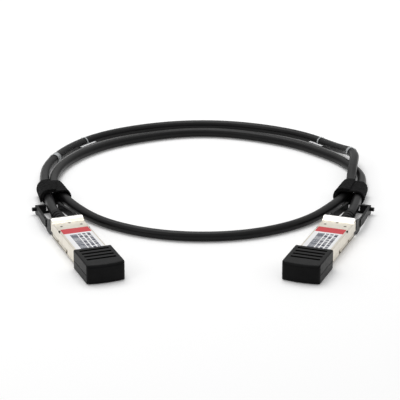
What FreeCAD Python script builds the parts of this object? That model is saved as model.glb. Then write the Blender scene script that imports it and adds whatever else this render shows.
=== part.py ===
import FreeCAD, Part
import math
import os
import re

import Sketcher
from FreeCAD import Placement, Rotation, Vector

# Direct attach copper cable: two die-cast plugs joined by one round cable,
# which lies in a ring of about one and a half turns held by two strap ties.
#
# Row frame: millimetres, +Z up, +X to the right, the plugs' noses towards -Y,
# origin on the surface, midway between the two plugs.
#
# Each plug is drawn in its own frame: x across it, y from the nose's front
# face back to the cable, z up from the surface. A placement then sets it down.

SIZES = {
    # the plug's shells
    "shell_width": 18.35,
    "shell_length": 72.1,
    "nose_height": 8.5,
    "collar_rise": 1.9,
    "collar_ramp": 3.0,
    "collar_land": 0.9,
    "top_wall": 1.1,
    "side_wall": 1.4,
    "floor_wall": 1.1,
    "rear_wall": 6.5,
    "seam_height": 2.9,
    "seam_gap": 0.04,
    "shell_corner": 0.5,
    "dimple_radius": 0.35,
    "dimple_depth": 0.3,
    "dimple_spread": 5.8,
    "dimple_setback": 9.7,
    "dimple_step": 4.2,
    "notch_depth": 0.55,
    "notch_height": 0.8,
    "notch_length": 2.4,
    "notch_setback": 15.2,
    # screws through the lower shell into the upper one
    "screw_spring_gap": 2.6,
    "screw_spread": 5.2,
    "screw_shank": 0.8,
    "screw_head": 1.5,
    "screw_head_depth": 0.8,
    "screw_reach": 5.6,
    "screw_gap": 0.05,
    "boss_wall": 0.9,
    # paddle board in the nose
    "board_side_gap": 0.075,
    "board_rear_gap": 37.6,
    "board_thickness": 1.0,
    "board_setback": 1.5,
    "rail_width": 1.2,
    "pad_width": 0.54,
    "pad_length": 1.9,
    "pad_thickness": 0.08,
    "pad_margin": 1.3,
    "pad_count": 17,
    "pad_setback": 0.6,
    # block that holds the pair ends
    "block_length": 9.0,
    "block_side_gap": 1.2,
    "block_overlap": 5.0,
    "block_gap": 0.15,
    # insulated pairs between the block and the cable
    "pair_radius": 0.5,
    "pair_spread": 2.4,
    "pair_bundle": 2.15,
    "pair_row_height": 1.55,
    "pair_gap": 0.2,
    # cable and what grips it
    "cable_radius": 2.85,
    "cable_gap": 0.05,
    "exit_height": 5.0,
    "cable_inset": 10.0,
    "boot_radius": 3.5,
    "boot_tip_radius": 3.2,
    "boot_length": 21.0,
    "boot_head_radius": 4.4,
    "boot_head_flat": 3.3,
    "boot_head_length": 2.0,
    "boot_head_inset": 2.6,
    "boot_groove_depth": 0.35,
    "boot_groove_width": 0.9,
    "boot_groove_pitch": 3.3,
    "boot_groove_count": 4,
    "boot_groove_first": 6.5,
    "ferrule_radius": 3.25,
    "ferrule_flange": 3.4,
    "ferrule_length": 4.5,
    "ferrule_gap": 0.4,
    # latch slider: bent sheet with an arm along each side
    "sheet": 0.5,
    "channel_depth": 0.75,
    "channel_front_gap": 3.0,
    "arm_height": 2.1,
    "arm_gap": 0.12,
    "arm_reach": 29.0,
    "slider_travel": 2.6,
    "tab_rise": 0.35,
    "stop_inset": 12.0,
    "stop_length": 1.4,
    "plate_start": 2.2,
    "plate_length": 12.0,
    "plate_height": 7.6,
    "plate_tip_height": 3.6,
    "web_start": 3.0,
    "web_length": 5.0,
    "web_bottom": 0.65,
    # return springs beside the board
    "spring_radius": 0.8,
    "spring_wire": 0.16,
    "spring_length": 7.0,
    "spring_turns": 6,
    "spring_pocket_gap": 0.12,
    "lug_setback": 2.4,
    "lug_length": 1.0,
    "lug_rise": 0.6,
    # pull tab
    "tab_front": 9.5,
    "tab_length": 38.0,
    "tab_straight": 7.0,
    "tab_arm": 1.5,
    "tab_end_half_width": 7.6,
    "tab_top": 7.2,
    "tab_bottom": 2.6,
    "tab_end_top": 5.6,
    "tab_end_bottom": 0.4,
    "tab_end_wall": 1.8,
    "tab_ear": 2.0,
    "tab_ear_bottom": 2.6,
    "tab_ear_top": 4.4,
    "tab_notch_offset": 2.3,
    "tab_notch_half": 3.7,
    "tab_web": 0.9,
    "tab_seat_gap": 0.04,
    # rubber dust cap
    "cap_length": 24.2,
    "cap_wall": 0.99,
    "cap_side_wall": 1.5,
    "cap_top_wall": 1.6,
    "cap_gap": 0.06,
    "cap_front": 1.1,
    "cap_bulge": 1.3,
    "cap_corner": 0.9,
    "cap_front_round": 1.9,
    "cap_groove_depth": 0.6,
    "cap_groove_width": 1.1,
    "cap_groove_margin": 2.4,
    "cap_groove_pitch": 3.8,
    "cap_groove_count": 4,
    "cap_groove_first": 2.0,
    "cap_line_height": 4.9,
    "cap_line_width": 0.4,
    "cap_line_depth": 0.25,
    # label
    "label_thickness": 0.12,
    "label_side_gap": 1.175,
    "label_setback": 14.6,
    "label_cap_gap": 0.56,
    # where the plugs lie
    "plug_spread": 52.0,
    "plug_back": 51.19,
    "plug_turn": 20.3,
    # strap ties
    "tie_length": 18.0,
    "tie_strap": 1.2,
    "tie_room": 0.45,
    "tie_spread": 88.2,
    "tie_depth": 73.3,
    "tie_turn": 15.4,
    "tie_front_pitch": 8.9,
    "tie_rear_pitch": 6.2,
    "tie_corner": 2.6,
    # clear film sleeves
    "sleeve_wall": 0.3,
    "sleeve_spread": 84.5,
    "sleeve_depth": 157.5,
}

# Sizes that follow from the ones above
FOLLOWING = {
    "board_width": "shell_width - 2*side_wall - 2*board_side_gap",
    "board_length": "shell_length - board_setback - board_rear_gap",
    "pad_pitch": "(board_width - 2*pad_margin)/(pad_count - 1)",
    "block_width": "board_width - 2*block_side_gap",
    "label_width": "shell_width - 2*label_side_gap",
    "label_front": "cap_length - cap_front - cap_gap + label_cap_gap",
    "channel_length": "arm_reach + channel_front_gap",
    "spring_inset": "arm_reach - lug_setback",
    "screw_setback": "spring_inset - spring_length - screw_spring_gap",
    "cap_groove_length": "shell_width + 2*cap_gap + 2*cap_side_wall - 2*cap_groove_margin",
}

BASE = "(cap_wall + cap_gap)"
SEAM = "(cap_wall + cap_gap + seam_height)"
TOP = "(cap_wall + cap_gap + nose_height)"
BOARD_TOP = f"({BASE} + nose_height/2 + board_thickness/2)"
BOARD_BOTTOM = f"({BASE} + nose_height/2 - board_thickness/2)"
ARM_BOTTOM = f"({SEAM} - arm_gap - arm_height)"
ARM_OUTSIDE = "(shell_width/2 - channel_depth + arm_gap + sheet)"
ARM_INSIDE = "(shell_width/2 - channel_depth + arm_gap)"
POCKET_CENTRE = "(shell_width/2 - side_wall - spring_radius - spring_pocket_gap)"
SPRING_HEIGHT = f"({BASE} + floor_wall + spring_radius + spring_pocket_gap)"
SPRING_START = "(shell_length - spring_inset)"
CAVITY_END = "(shell_length - rear_wall)"

doc = FreeCAD.newDocument("attach_cable")
sheet = doc.addObject("Spreadsheet::Sheet", "Sizes")
for row, (alias, size) in enumerate(list(SIZES.items()) + list(FOLLOWING.items()), start=1):
    sheet.set(f"A{row}", alias)
    sheet.set(f"B{row}", f"={size}")
    sheet.setAlias(f"B{row}", alias)
doc.recompute()


def formula(text):
    """The text with each size's alias turned into a reference to its cell."""
    return re.sub(r"[a-z][a-z_]*", lambda word: reference(word.group()), text)


def reference(word):
    return f"Sizes.{word}" if word in SIZES or word in FOLLOWING else word


def value(text):
    """What a formula of sizes comes to, in millimetres or degrees."""
    result = sheet.evalExpression(formula(text))
    return float(getattr(result, "Value", result))


def bind(item, path, text):
    item.setExpression(path, formula(text))


# Part primitives, each bound to its six limits or its radius and length

def block(name, x, y, z):
    """A box between three pairs of limits."""
    box = doc.addObject("Part::Box", name)
    for side, axis, (low, high) in zip(("Length", "Width", "Height"), "xyz", (x, y, z)):
        bind(box, side, f"({high}) - ({low})")
        bind(box, f".Placement.Base.{axis}", low)
    return box


def rod(name, radius, length, base, axis="y"):
    """A cylinder from its base point along +y, or along +z."""
    cylinder = doc.addObject("Part::Cylinder", name)
    if axis == "y":
        cylinder.Placement = Placement(Vector(), Rotation(Vector(1, 0, 0), -90))
    bind(cylinder, "Radius", radius)
    bind(cylinder, "Height", length)
    for letter, place in zip("xyz", base):
        bind(cylinder, f".Placement.Base.{letter}", place)
    return cylinder


def fused(name, pieces):
    joined = doc.addObject("Part::MultiFuse", name)
    joined.Shapes = pieces
    joined.Refine = True
    return joined


def overlap(name, base, tool):
    shared = doc.addObject("Part::Common", name)
    shared.Base = base
    shared.Tool = tool
    return shared


def cut(name, base, tools):
    result = doc.addObject("Part::Cut", name)
    result.Base = base
    result.Tool = tools[0] if len(tools) == 1 else fused(f"{name}_tools", tools)
    result.Refine = True
    return result


# PartDesign bodies and their sketches

def new_body(name):
    return doc.addObject("PartDesign::Body", name)


def new_sketch(body, plane, offset="0"):
    """A sketch on one of the body's own origin planes, moved along its normal."""
    planes = {item.Role: item for item in body.Origin.OriginFeatures}
    sketch = body.newObject("Sketcher::SketchObject", f"{body.Name}_sketch")
    sketch.AttachmentSupport = (planes[plane], [""])
    sketch.MapMode = "FlatFace"
    bind(sketch, ".AttachmentOffset.Base.z", offset)
    return sketch


def fix(sketch, kind, *geometry, to):
    """A driving dimension, bound to its formula."""
    index = sketch.addConstraint(Sketcher.Constraint(kind, *geometry, value(to)))
    bind(sketch, f"Constraints[{index}]", to)


def polygon(sketch, points):
    """A closed outline whose corners are pairs of formulas."""
    first = sketch.GeometryCount
    corners = [Vector(value(across), value(along), 0) for across, along in points]
    for start, end in zip(corners, corners[1:] + corners[:1]):
        sketch.addGeometry(Part.LineSegment(start, end), False)
    for index, (across, along) in enumerate(points):
        line = first + index
        following = first + (index + 1) % len(points)
        sketch.addConstraint(Sketcher.Constraint("Coincident", line, 2, following, 1))
        fix(sketch, "DistanceX", -1, 1, line, 1, to=across)
        fix(sketch, "DistanceY", -1, 1, line, 1, to=along)


def rectangle(sketch, x, y):
    polygon(sketch, [(x[0], y[0]), (x[1], y[0]), (x[1], y[1]), (x[0], y[1])])


def pad(body, sketch, length, midplane=False, backwards=False):
    feature = body.newObject("PartDesign::Pad", f"{body.Name}_pad")
    feature.Profile = sketch
    feature.Midplane = midplane
    feature.Reversed = backwards
    bind(feature, "Length", length)
    return feature


def pocket(body, sketch, length, midplane=False, backwards=False):
    feature = body.newObject("PartDesign::Pocket", f"{body.Name}_pocket")
    feature.Profile = sketch
    feature.Midplane = midplane
    feature.Reversed = backwards
    bind(feature, "Length", length)
    return feature


def rounded(body, base, edges, radius):
    doc.recompute()
    feature = body.newObject("PartDesign::Fillet", f"{body.Name}_fillet")
    feature.Base = (base, [f"Edge{i + 1}" for i, edge in enumerate(base.Shape.Edges) if edges(edge)])
    bind(feature, "Radius", radius)
    return feature


def runs_along(edge, axis):
    """Whether an edge is straight and parallel to an axis."""
    if not isinstance(edge.Curve, Part.Line):
        return False
    return abs(abs(edge.Curve.Direction.dot(axis)) - 1) < 1e-6


X_AXIS = Vector(1, 0, 0)
Y_AXIS = Vector(0, 1, 0)
Z_AXIS = Vector(0, 0, 1)


# The plug's pieces, each drawn in the plug's own frame

def both_sides(side, low, high):
    """The limits across the plug of something between two distances from its middle."""
    return (low, high) if side > 0 else (f"-({high})", f"-({low})")


def upper_shell(name):
    """Cover with the collar at its rear, open below and at the nose."""
    body = new_body(f"{name}_body")
    profile = new_sketch(body, "YZ_Plane")
    ramp = "shell_length - collar_land - collar_ramp"
    polygon(profile, [
        ("0", f"{SEAM} + seam_gap"),
        ("shell_length", f"{SEAM} + seam_gap"),
        ("shell_length", f"{TOP} + collar_rise"),
        ("shell_length - collar_land", f"{TOP} + collar_rise"),
        (ramp, TOP),
        ("0", TOP),
    ])
    solid = pad(body, profile, "shell_width", midplane=True)
    solid = rounded(
        body, solid,
        lambda edge: runs_along(edge, Y_AXIS) and edge.BoundBox.ZMin > value(TOP) - 0.01,
        "shell_corner",
    )
    hollow = new_sketch(body, "XY_Plane", SEAM)
    inside = "shell_width/2 - side_wall"
    rectangle(hollow, (f"-({inside})", inside), ("-1", CAVITY_END))
    pocket(body, hollow, "nose_height - seam_height - top_wall", backwards=True)
    bosses = [
        rod(f"{name}_boss", "screw_shank + boss_wall", f"{TOP} - top_wall/2 - {SEAM} - seam_gap",
            (f"{side}*screw_spread", "shell_length - screw_setback", f"{SEAM} + seam_gap"), axis="z")
        for side in (-1, 1)
    ]
    ribs = [
        block(f"{name}_rib", both_sides(side, "board_width/2 - rail_width", "board_width/2"),
              ("8", "board_setback + board_length - block_overlap - 1"),
              (BOARD_TOP, f"{TOP} - top_wall/2"))
        for side in (-1, 1)
    ]
    joined = fused(f"{name}_with_bosses", [body] + bosses + ribs)
    screw_holes = [
        rod(f"{name}_screw_hole", "screw_shank + screw_gap", "screw_reach",
            (f"{side}*screw_spread", "shell_length - screw_setback", BASE), axis="z")
        for side in (-1, 1)
    ]
    dimples = [
        rod(f"{name}_dimple", "dimple_radius", "dimple_depth + 1",
            (x, f"shell_length - dimple_setback + {step}*dimple_step", f"{TOP} - dimple_depth"), axis="z")
        for x, step in (("-dimple_spread", 0), ("dimple_spread", 0), ("dimple_radius", 1))
    ]
    notches = [
        block(f"{name}_edge_notch", both_sides(side, "shell_width/2 - notch_depth", "shell_width/2 + 1"),
              ("shell_length - notch_setback - notch_length", "shell_length - notch_setback"),
              (f"{TOP} - notch_height", f"{TOP} + 1"))
        for side in (-1, 1)
    ]
    half = "boot_head_radius + 0.8 + seam_gap"
    saddle = block(f"{name}_saddle_space", (f"-({half})", half), (f"{CAVITY_END} - 1", "shell_length + 1"),
                   (BASE, "exit_height + seam_gap"))
    return cut(name, joined, screw_holes + dimples + notches + boot_seat(name) + [saddle])


def boot_seat(name):
    """What the boot's neck, its flatted head and the crimp take out of the shells."""
    neck = rod(f"{name}_neck", "boot_radius", "rear_wall + 2", ("0", f"{CAVITY_END} - 1", "exit_height"))
    crimp = rod(f"{name}_crimp", "ferrule_flange", "ferrule_length + 1",
                ("0", f"{CAVITY_END} - ferrule_gap - ferrule_length - 0.5", "exit_height"))
    return [neck, crimp, boot_head(name, "0.03")]


def boot_head(name, play):
    """The boot's head, round with flats above and below, with some play round it."""
    front = "shell_length - boot_head_inset - boot_head_length"
    back = "shell_length - boot_head_inset"
    disc = rod(f"{name}_head", f"boot_head_radius + {play}", f"boot_head_length + 2*{play}",
               ("0", f"{front} - {play}", "exit_height"))
    half = f"boot_head_radius + {play}"
    flats = block(f"{name}_flats", (f"-({half})", half), (f"{front} - {play}", f"{back} + {play}"),
                  (f"exit_height - boot_head_flat - {play}", f"exit_height + boot_head_flat + {play}"))
    return overlap(f"{name}_head_shape", disc, flats)


def lower_shell(name):
    """Tray with rails for the board, a channel along each side and a saddle for the boot."""
    body = new_body(f"{name}_body")
    tray = new_sketch(body, "XY_Plane", BASE)
    half = "shell_width/2"
    rectangle(tray, (f"-{half}", half), ("0", "shell_length"))
    solid = pad(body, tray, "seam_height")
    solid = rounded(
        body, solid,
        lambda edge: runs_along(edge, Y_AXIS) and edge.BoundBox.ZMax < value(BASE) + 0.01,
        "shell_corner",
    )
    inside = "(shell_width/2 - side_wall)"
    hollow = new_sketch(body, "XY_Plane", SEAM)
    rectangle(hollow, (f"-{inside}", inside), ("-1", CAVITY_END))
    pocket(body, hollow, "seam_height - floor_wall")
    channel = new_sketch(body, "XY_Plane", SEAM)
    for side in (-1, 1):
        across = (f"{side}*(shell_width/2 - channel_depth)", f"{side}*(shell_width/2 + 1)")
        rectangle(channel, across, ("shell_length - channel_length", "shell_length + 1"))
    pocket(body, channel, "arm_height + 2*arm_gap")
    additions = []
    for side in (-1, 1):
        additions.append(block(
            f"{name}_rail", both_sides(side, "board_width/2 - rail_width", "board_width/2"),
            ("6", "board_setback + board_length"), (f"{BASE} + floor_wall/2", BOARD_BOTTOM)))
        additions.append(block(
            f"{name}_stop", both_sides(side, "shell_width/2 - channel_depth - 0.2", "shell_width/2 - 0.2"),
            ("shell_length - stop_inset", "shell_length - stop_inset + stop_length"),
            (f"{ARM_BOTTOM} + 0.62", f"{ARM_BOTTOM} + arm_height - 0.62")))
        inner = f"{POCKET_CENTRE} - spring_radius - spring_pocket_gap"
        additions.append(block(
            f"{name}_spring_guide", both_sides(side, f"{inner} - 0.7", inner),
            (SPRING_START, f"{SPRING_START} + spring_length + 0.6"),
            (f"{BASE} + floor_wall/2", f"{SEAM} - 0.3")))
        additions.append(block(
            f"{name}_spring_stop", both_sides(side, f"{inner} - 0.7", f"shell_width/2 - side_wall + 0.1"),
            (f"{SPRING_START} + spring_length", f"{SPRING_START} + spring_length + 1.2"),
            (f"{BASE} + floor_wall/2", f"{SEAM} - 0.05")))
        additions.append(rod(
            f"{name}_post", "screw_shank + boss_wall", f"{SEAM} - {BASE} - floor_wall/2",
            (f"{side}*screw_spread", "shell_length - screw_setback", f"{BASE} + floor_wall/2"), axis="z"))
    half_saddle = "boot_head_radius + 0.8"
    additions.append(block(f"{name}_saddle_block", (f"-({half_saddle})", half_saddle),
                           (CAVITY_END, "shell_length"), (f"{BASE} + floor_wall/2", "exit_height")))
    joined = fused(f"{name}_tray", [body] + additions)
    holes = []
    for side in (-1, 1):
        centre = (f"{side}*screw_spread", "shell_length - screw_setback", f"{BASE} - 1")
        holes.append(rod(f"{name}_screw_hole", "screw_shank + screw_gap",
                         "seam_height + 2", centre, axis="z"))
        holes.append(rod(f"{name}_screw_sink", "screw_head + screw_gap",
                         "screw_head_depth + screw_gap + 1", centre, axis="z"))
        lug_start = f"{SPRING_START} - lug_length"
        holes.append(block(
            f"{name}_lug_slot", both_sides(side, "shell_width/2 - side_wall - 0.5", "shell_width/2 - 0.2"),
            (f"{lug_start} - arm_gap", f"{SPRING_START} + slider_travel + arm_gap"),
            (f"{ARM_BOTTOM} + lug_rise - arm_gap", f"{SEAM} + 1")))
    return cut(name, joined, holes + boot_seat(name))


def shell_screws(name):
    """Two flat-head screws, up through the lower shell."""
    solids = []
    for side in (-1, 1):
        x, y = f"{side}*screw_spread", "shell_length - screw_setback"
        shank = rod(f"{name}_shank", "screw_shank", "screw_reach - screw_gap", (x, y, BASE), axis="z")
        head = rod(f"{name}_head", "screw_head", "screw_head_depth", (x, y, BASE), axis="z")
        solids.append(fused(f"{name}_screw", [shank, head]))
    return grouped(name, solids)


def grouped(name, solids):
    """Separate solids that share one node."""
    group = doc.addObject("Part::Compound", name)
    group.Links = solids
    return group


def paddle_board(name):
    """Circuit board whose front edge carries contact pads above and below."""
    body = new_body(name)
    plan = new_sketch(body, "XY_Plane", BOARD_BOTTOM)
    half = "board_width/2"
    nick = "0.8"
    polygon(plan, [
        (f"-{half} + {nick}", "board_setback"), (f"{half} - {nick}", "board_setback"),
        (half, f"board_setback + {nick}"), (half, "board_setback + board_length"),
        (f"-{half}", "board_setback + board_length"), (f"-{half}", f"board_setback + {nick}"),
    ])
    pad(body, plan, "board_thickness")
    first = "-(pad_count - 1)/2*pad_pitch"
    across = (f"{first} - pad_width/2", f"{first} + pad_width/2")
    along = ("board_setback + pad_setback", "board_setback + pad_setback + pad_length")
    rows = []
    for height, below in ((BOARD_TOP, False), (BOARD_BOTTOM, True)):
        contact = new_sketch(body, "XY_Plane", height)
        rectangle(contact, across, along)
        rows.append(pad(body, contact, "pad_thickness", backwards=below))
    pattern = body.newObject("PartDesign::LinearPattern", f"{name}_contacts")
    pattern.Originals = rows
    pattern.Direction = (contact, ["H_Axis"])
    bind(pattern, "Length", "(pad_count - 1)*pad_pitch")
    bind(pattern, "Occurrences", "pad_count")
    body.Tip = pattern
    return body


def wire_block(name):
    """Moulded block over the board's rear end, where the pairs are soldered."""
    start = "board_setback + board_length - block_overlap"
    end = f"{start} + block_length"
    half = "block_width/2"
    whole = block(f"{name}_whole", (f"-{half}", half), (start, end),
                  (f"{BASE} + floor_wall + block_gap", f"{TOP} - top_wall - block_gap"))
    slot = block(f"{name}_slot", (f"-{half} - 1", f"{half} + 1"),
                 (f"{start} - 1", "board_setback + board_length"), (BOARD_BOTTOM, BOARD_TOP))
    return cut(name, whole, [slot])


def crimp_ferrule(name):
    """Stepped ring that clamps the cable's braid, just inside the rear wall."""
    start = f"{CAVITY_END} - ferrule_gap - ferrule_length"
    centre = ("0", start, "exit_height")
    barrel = rod(f"{name}_barrel", "ferrule_radius", "ferrule_length", centre)
    flange = rod(f"{name}_flange", "ferrule_flange", "0.9", centre)
    bore = rod(f"{name}_bore", "cable_radius", "ferrule_length + 2", ("0", f"{start} - 1", "exit_height"))
    return cut(name, fused(f"{name}_outer", [barrel, flange]), [bore])


def strain_relief(name):
    """Moulded boot: a head held in the rear wall, and a ringed tapering tail."""
    body = new_body(f"{name}_body")
    profile = new_sketch(body, "YZ_Plane")
    head_front = "shell_length - boot_head_inset - boot_head_length"
    head_back = "shell_length - boot_head_inset"
    inner = "cable_radius"
    points = [
        (head_front, f"exit_height + {inner}"),
        (head_front, "exit_height + boot_head_radius"),
        (head_back, "exit_height + boot_head_radius"),
        (head_back, "exit_height + boot_radius"),
    ]
    for ring in range(int(value("boot_groove_count"))):
        start = f"shell_length + boot_groove_first + {ring}*boot_groove_pitch"
        points += [
            (start, "exit_height + boot_radius"),
            (start, "exit_height + boot_radius - boot_groove_depth"),
            (f"{start} + boot_groove_width", "exit_height + boot_radius - boot_groove_depth"),
            (f"{start} + boot_groove_width", "exit_height + boot_radius"),
        ]
    points += [
        ("shell_length + boot_length", "exit_height + boot_tip_radius"),
        ("shell_length + boot_length", f"exit_height + {inner}"),
    ]
    polygon(profile, points)
    height = value("exit_height")
    axis = Part.LineSegment(Vector(0, height, 0), Vector(value("boot_length"), height, 0))
    line = profile.addGeometry(axis, True)
    profile.addConstraint(Sketcher.Constraint("Horizontal", line))
    fix(profile, "DistanceX", -1, 1, line, 1, to="0")
    fix(profile, "DistanceY", -1, 1, line, 1, to="exit_height")
    fix(profile, "DistanceX", line, 1, line, 2, to="boot_length")
    turned = body.newObject("PartDesign::Revolution", f"{name}_turned")
    turned.Profile = profile
    turned.ReferenceAxis = (profile, ["Axis0"])
    turned.Angle = 360
    across = ("-boot_head_radius", "boot_head_radius")
    above = ("exit_height + boot_head_flat", "exit_height + boot_head_radius")
    below = ("exit_height - boot_head_radius", "exit_height - boot_head_flat")
    return cut(name, body, [block(f"{name}_flat", across, (head_front, head_back), height)
                            for height in (above, below)])


def latch_slider(name):
    """Bent sheet: an arm in each side channel, a plate behind the shells and a web below."""
    sides = []
    for side in (-1, 1):
        body = new_body(f"{name}_side")
        profile = new_sketch(body, "YZ_Plane", f"{side}*{ARM_INSIDE}")
        plate = "(shell_length + plate_start)"
        polygon(profile, [
            ("shell_length - arm_reach", ARM_BOTTOM),
            ("shell_length + web_start", ARM_BOTTOM),
            ("shell_length + web_start", "web_bottom"),
            ("shell_length + web_start + web_length", "web_bottom"),
            (f"{plate} + plate_length", "tab_bottom + 0.4"),
            (f"{plate} + plate_length", "tab_bottom + 0.4 + plate_tip_height"),
            (f"{plate} + 1.8", f"{ARM_BOTTOM} + plate_height"),
            (plate, f"{ARM_BOTTOM} + plate_height"),
            (plate, f"{ARM_BOTTOM} + arm_height"),
            ("shell_length - arm_reach", f"{ARM_BOTTOM} + arm_height"),
        ])
        pad(body, profile, "sheet", backwards=side < 0)
        slot = new_sketch(body, "YZ_Plane", f"{side}*{ARM_INSIDE}")
        rectangle(slot,
                  ("shell_length - stop_inset - arm_gap - slider_travel",
                   "shell_length - stop_inset + stop_length + arm_gap"),
                  (f"{ARM_BOTTOM} + 0.5", f"{ARM_BOTTOM} + arm_height - 0.5"))
        pocket(body, slot, "2", midplane=True)
        sides.append(body)
        nib_plan = new_body(f"{name}_nib")
        nib = new_sketch(nib_plan, "XY_Plane", f"{ARM_BOTTOM} + 0.3")
        tip = "shell_length - arm_reach"
        polygon(nib, [
            (f"{side}*({ARM_OUTSIDE} - 0.1)", tip),
            (f"{side}*({ARM_OUTSIDE} + tab_rise)", f"{tip} + 0.5"),
            (f"{side}*({ARM_OUTSIDE} + tab_rise)", f"{tip} + 1.0"),
            (f"{side}*({ARM_OUTSIDE} - 0.1)", f"{tip} + 2.6"),
        ])
        pad(nib_plan, nib, "arm_height - 0.6")
        sides.append(nib_plan)
        sides.append(block(
            f"{name}_lug", both_sides(side, f"{POCKET_CENTRE} - spring_radius", f"{ARM_INSIDE} + sheet/2"),
            (f"{SPRING_START} - lug_length", SPRING_START),
            (f"{ARM_BOTTOM} + lug_rise", f"{ARM_BOTTOM} + arm_height")))
    web = block(f"{name}_web", (f"-{ARM_OUTSIDE}", ARM_OUTSIDE),
                ("shell_length + web_start", "shell_length + web_start + web_length"),
                ("web_bottom", "web_bottom + sheet"))
    return fused(name, sides + [web])


def return_spring(name, side):
    """One coil spring of the latch, wound along the plug."""
    radius = value("spring_radius - spring_wire")
    length = value("spring_length - 2*spring_wire")
    start = Vector(side * value(POCKET_CENTRE), value(f"{SPRING_START} + spring_wire"), value(SPRING_HEIGHT))
    helix = Part.makeHelix(length / value("spring_turns"), length, radius)
    wire = value("spring_wire")
    corners = [Vector(radius + a * wire, 0, b * wire) for a, b in ((-1, -1), (1, -1), (1, 1), (-1, 1))]
    section = Part.makePolygon(corners + corners[:1])
    coil = Part.Wire(helix.Edges).makePipeShell([section], True, True)
    coil.Placement = Placement(start, Rotation(Vector(1, 0, 0), -90))
    return coil


def return_springs(name):
    pair = doc.addObject("Part::Feature", name)
    pair.Shape = Part.makeCompound([return_spring(name, side) for side in (-1, 1)])
    return pair


def pull_tab(name, side):
    """Moulded loop: an arm beside each plate, and a low end wall with a notch for the cable."""
    front, back = "(shell_length + tab_front)", "(shell_length + tab_length)"
    straight = "(shell_length + tab_front + tab_straight)"
    middle = f"({ARM_INSIDE} + sheet/2)"
    wide = f"({middle} + tab_arm/2)"
    body = new_body(f"{name}_body")
    plan = new_sketch(body, "XY_Plane")
    ear = "(tab_end_half_width + tab_ear)"
    polygon(plan, [
        (f"-{wide}", front), (f"-{wide}", straight), ("-tab_end_half_width", f"{back} - tab_end_wall"),
        (f"-{ear}", f"{back} - tab_end_wall"), (f"-{ear}", back),
        (ear, back), (ear, f"{back} - tab_end_wall"),
        ("tab_end_half_width", f"{back} - tab_end_wall"), (wide, straight), (wide, front),
        (f"{wide} - tab_arm", front), (f"{wide} - tab_arm", straight),
        ("tab_end_half_width - tab_arm", f"{back} - tab_end_wall"),
        ("-(tab_end_half_width - tab_arm)", f"{back} - tab_end_wall"),
        (f"-({wide} - tab_arm)", straight), (f"-({wide} - tab_arm)", front),
    ])
    pad(body, plan, "tab_top + 1")
    above = new_sketch(body, "YZ_Plane")
    polygon(above, [
        (f"{front} - 1", "tab_top"), (straight, "tab_top"), (f"{back} - 4", "tab_end_top"),
        (f"{back} + 1", "tab_end_top"), (f"{back} + 1", "tab_top + 2"), (f"{front} - 1", "tab_top + 2"),
    ])
    pocket(body, above, "4*shell_width", midplane=True)
    below = new_sketch(body, "YZ_Plane")
    polygon(below, [
        (f"{front} - 1", "-1"), (f"{back} + 1", "-1"), (f"{back} + 1", "tab_end_bottom"),
        (f"{back} - tab_end_wall - 1", "tab_end_bottom"),
        (f"{back} - tab_end_wall - 3", "tab_end_bottom + 1.6"),
        (straight, "tab_bottom"), (f"{front} - 1", "tab_bottom"),
    ])
    pocket(body, below, "4*shell_width", midplane=True)
    trims = []
    for way in (-1, 1):
        x = both_sides(way, "tab_end_half_width", f"{ear} + 1")
        y = (f"{back} - tab_end_wall - 0.01", f"{back} + 1")
        trims.append(block(f"{name}_above_ear", x, y, ("tab_ear_top", "tab_top + 2")))
        trims.append(block(f"{name}_below_ear", x, y, ("-1", "tab_ear_bottom")))
        x = both_sides(way, f"{ARM_INSIDE} - tab_seat_gap", f"{ARM_OUTSIDE} + tab_seat_gap")
        trims.append(block(f"{name}_plate_slot", x,
                           (f"{front} - 1", "shell_length + plate_start + plate_length + tab_seat_gap"),
                           ("tab_bottom + 0.4 - 2", "tab_top + 1")))
    centre = f"{-side}*tab_notch_offset"
    trims.append(block(f"{name}_notch", (f"{centre} - tab_notch_half", f"{centre} + tab_notch_half"),
                       (f"{back} - tab_end_wall - 1", f"{back} + 1"),
                       ("tab_end_bottom + tab_web", "tab_top + 2")))
    return cut(name, body, trims)


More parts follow.
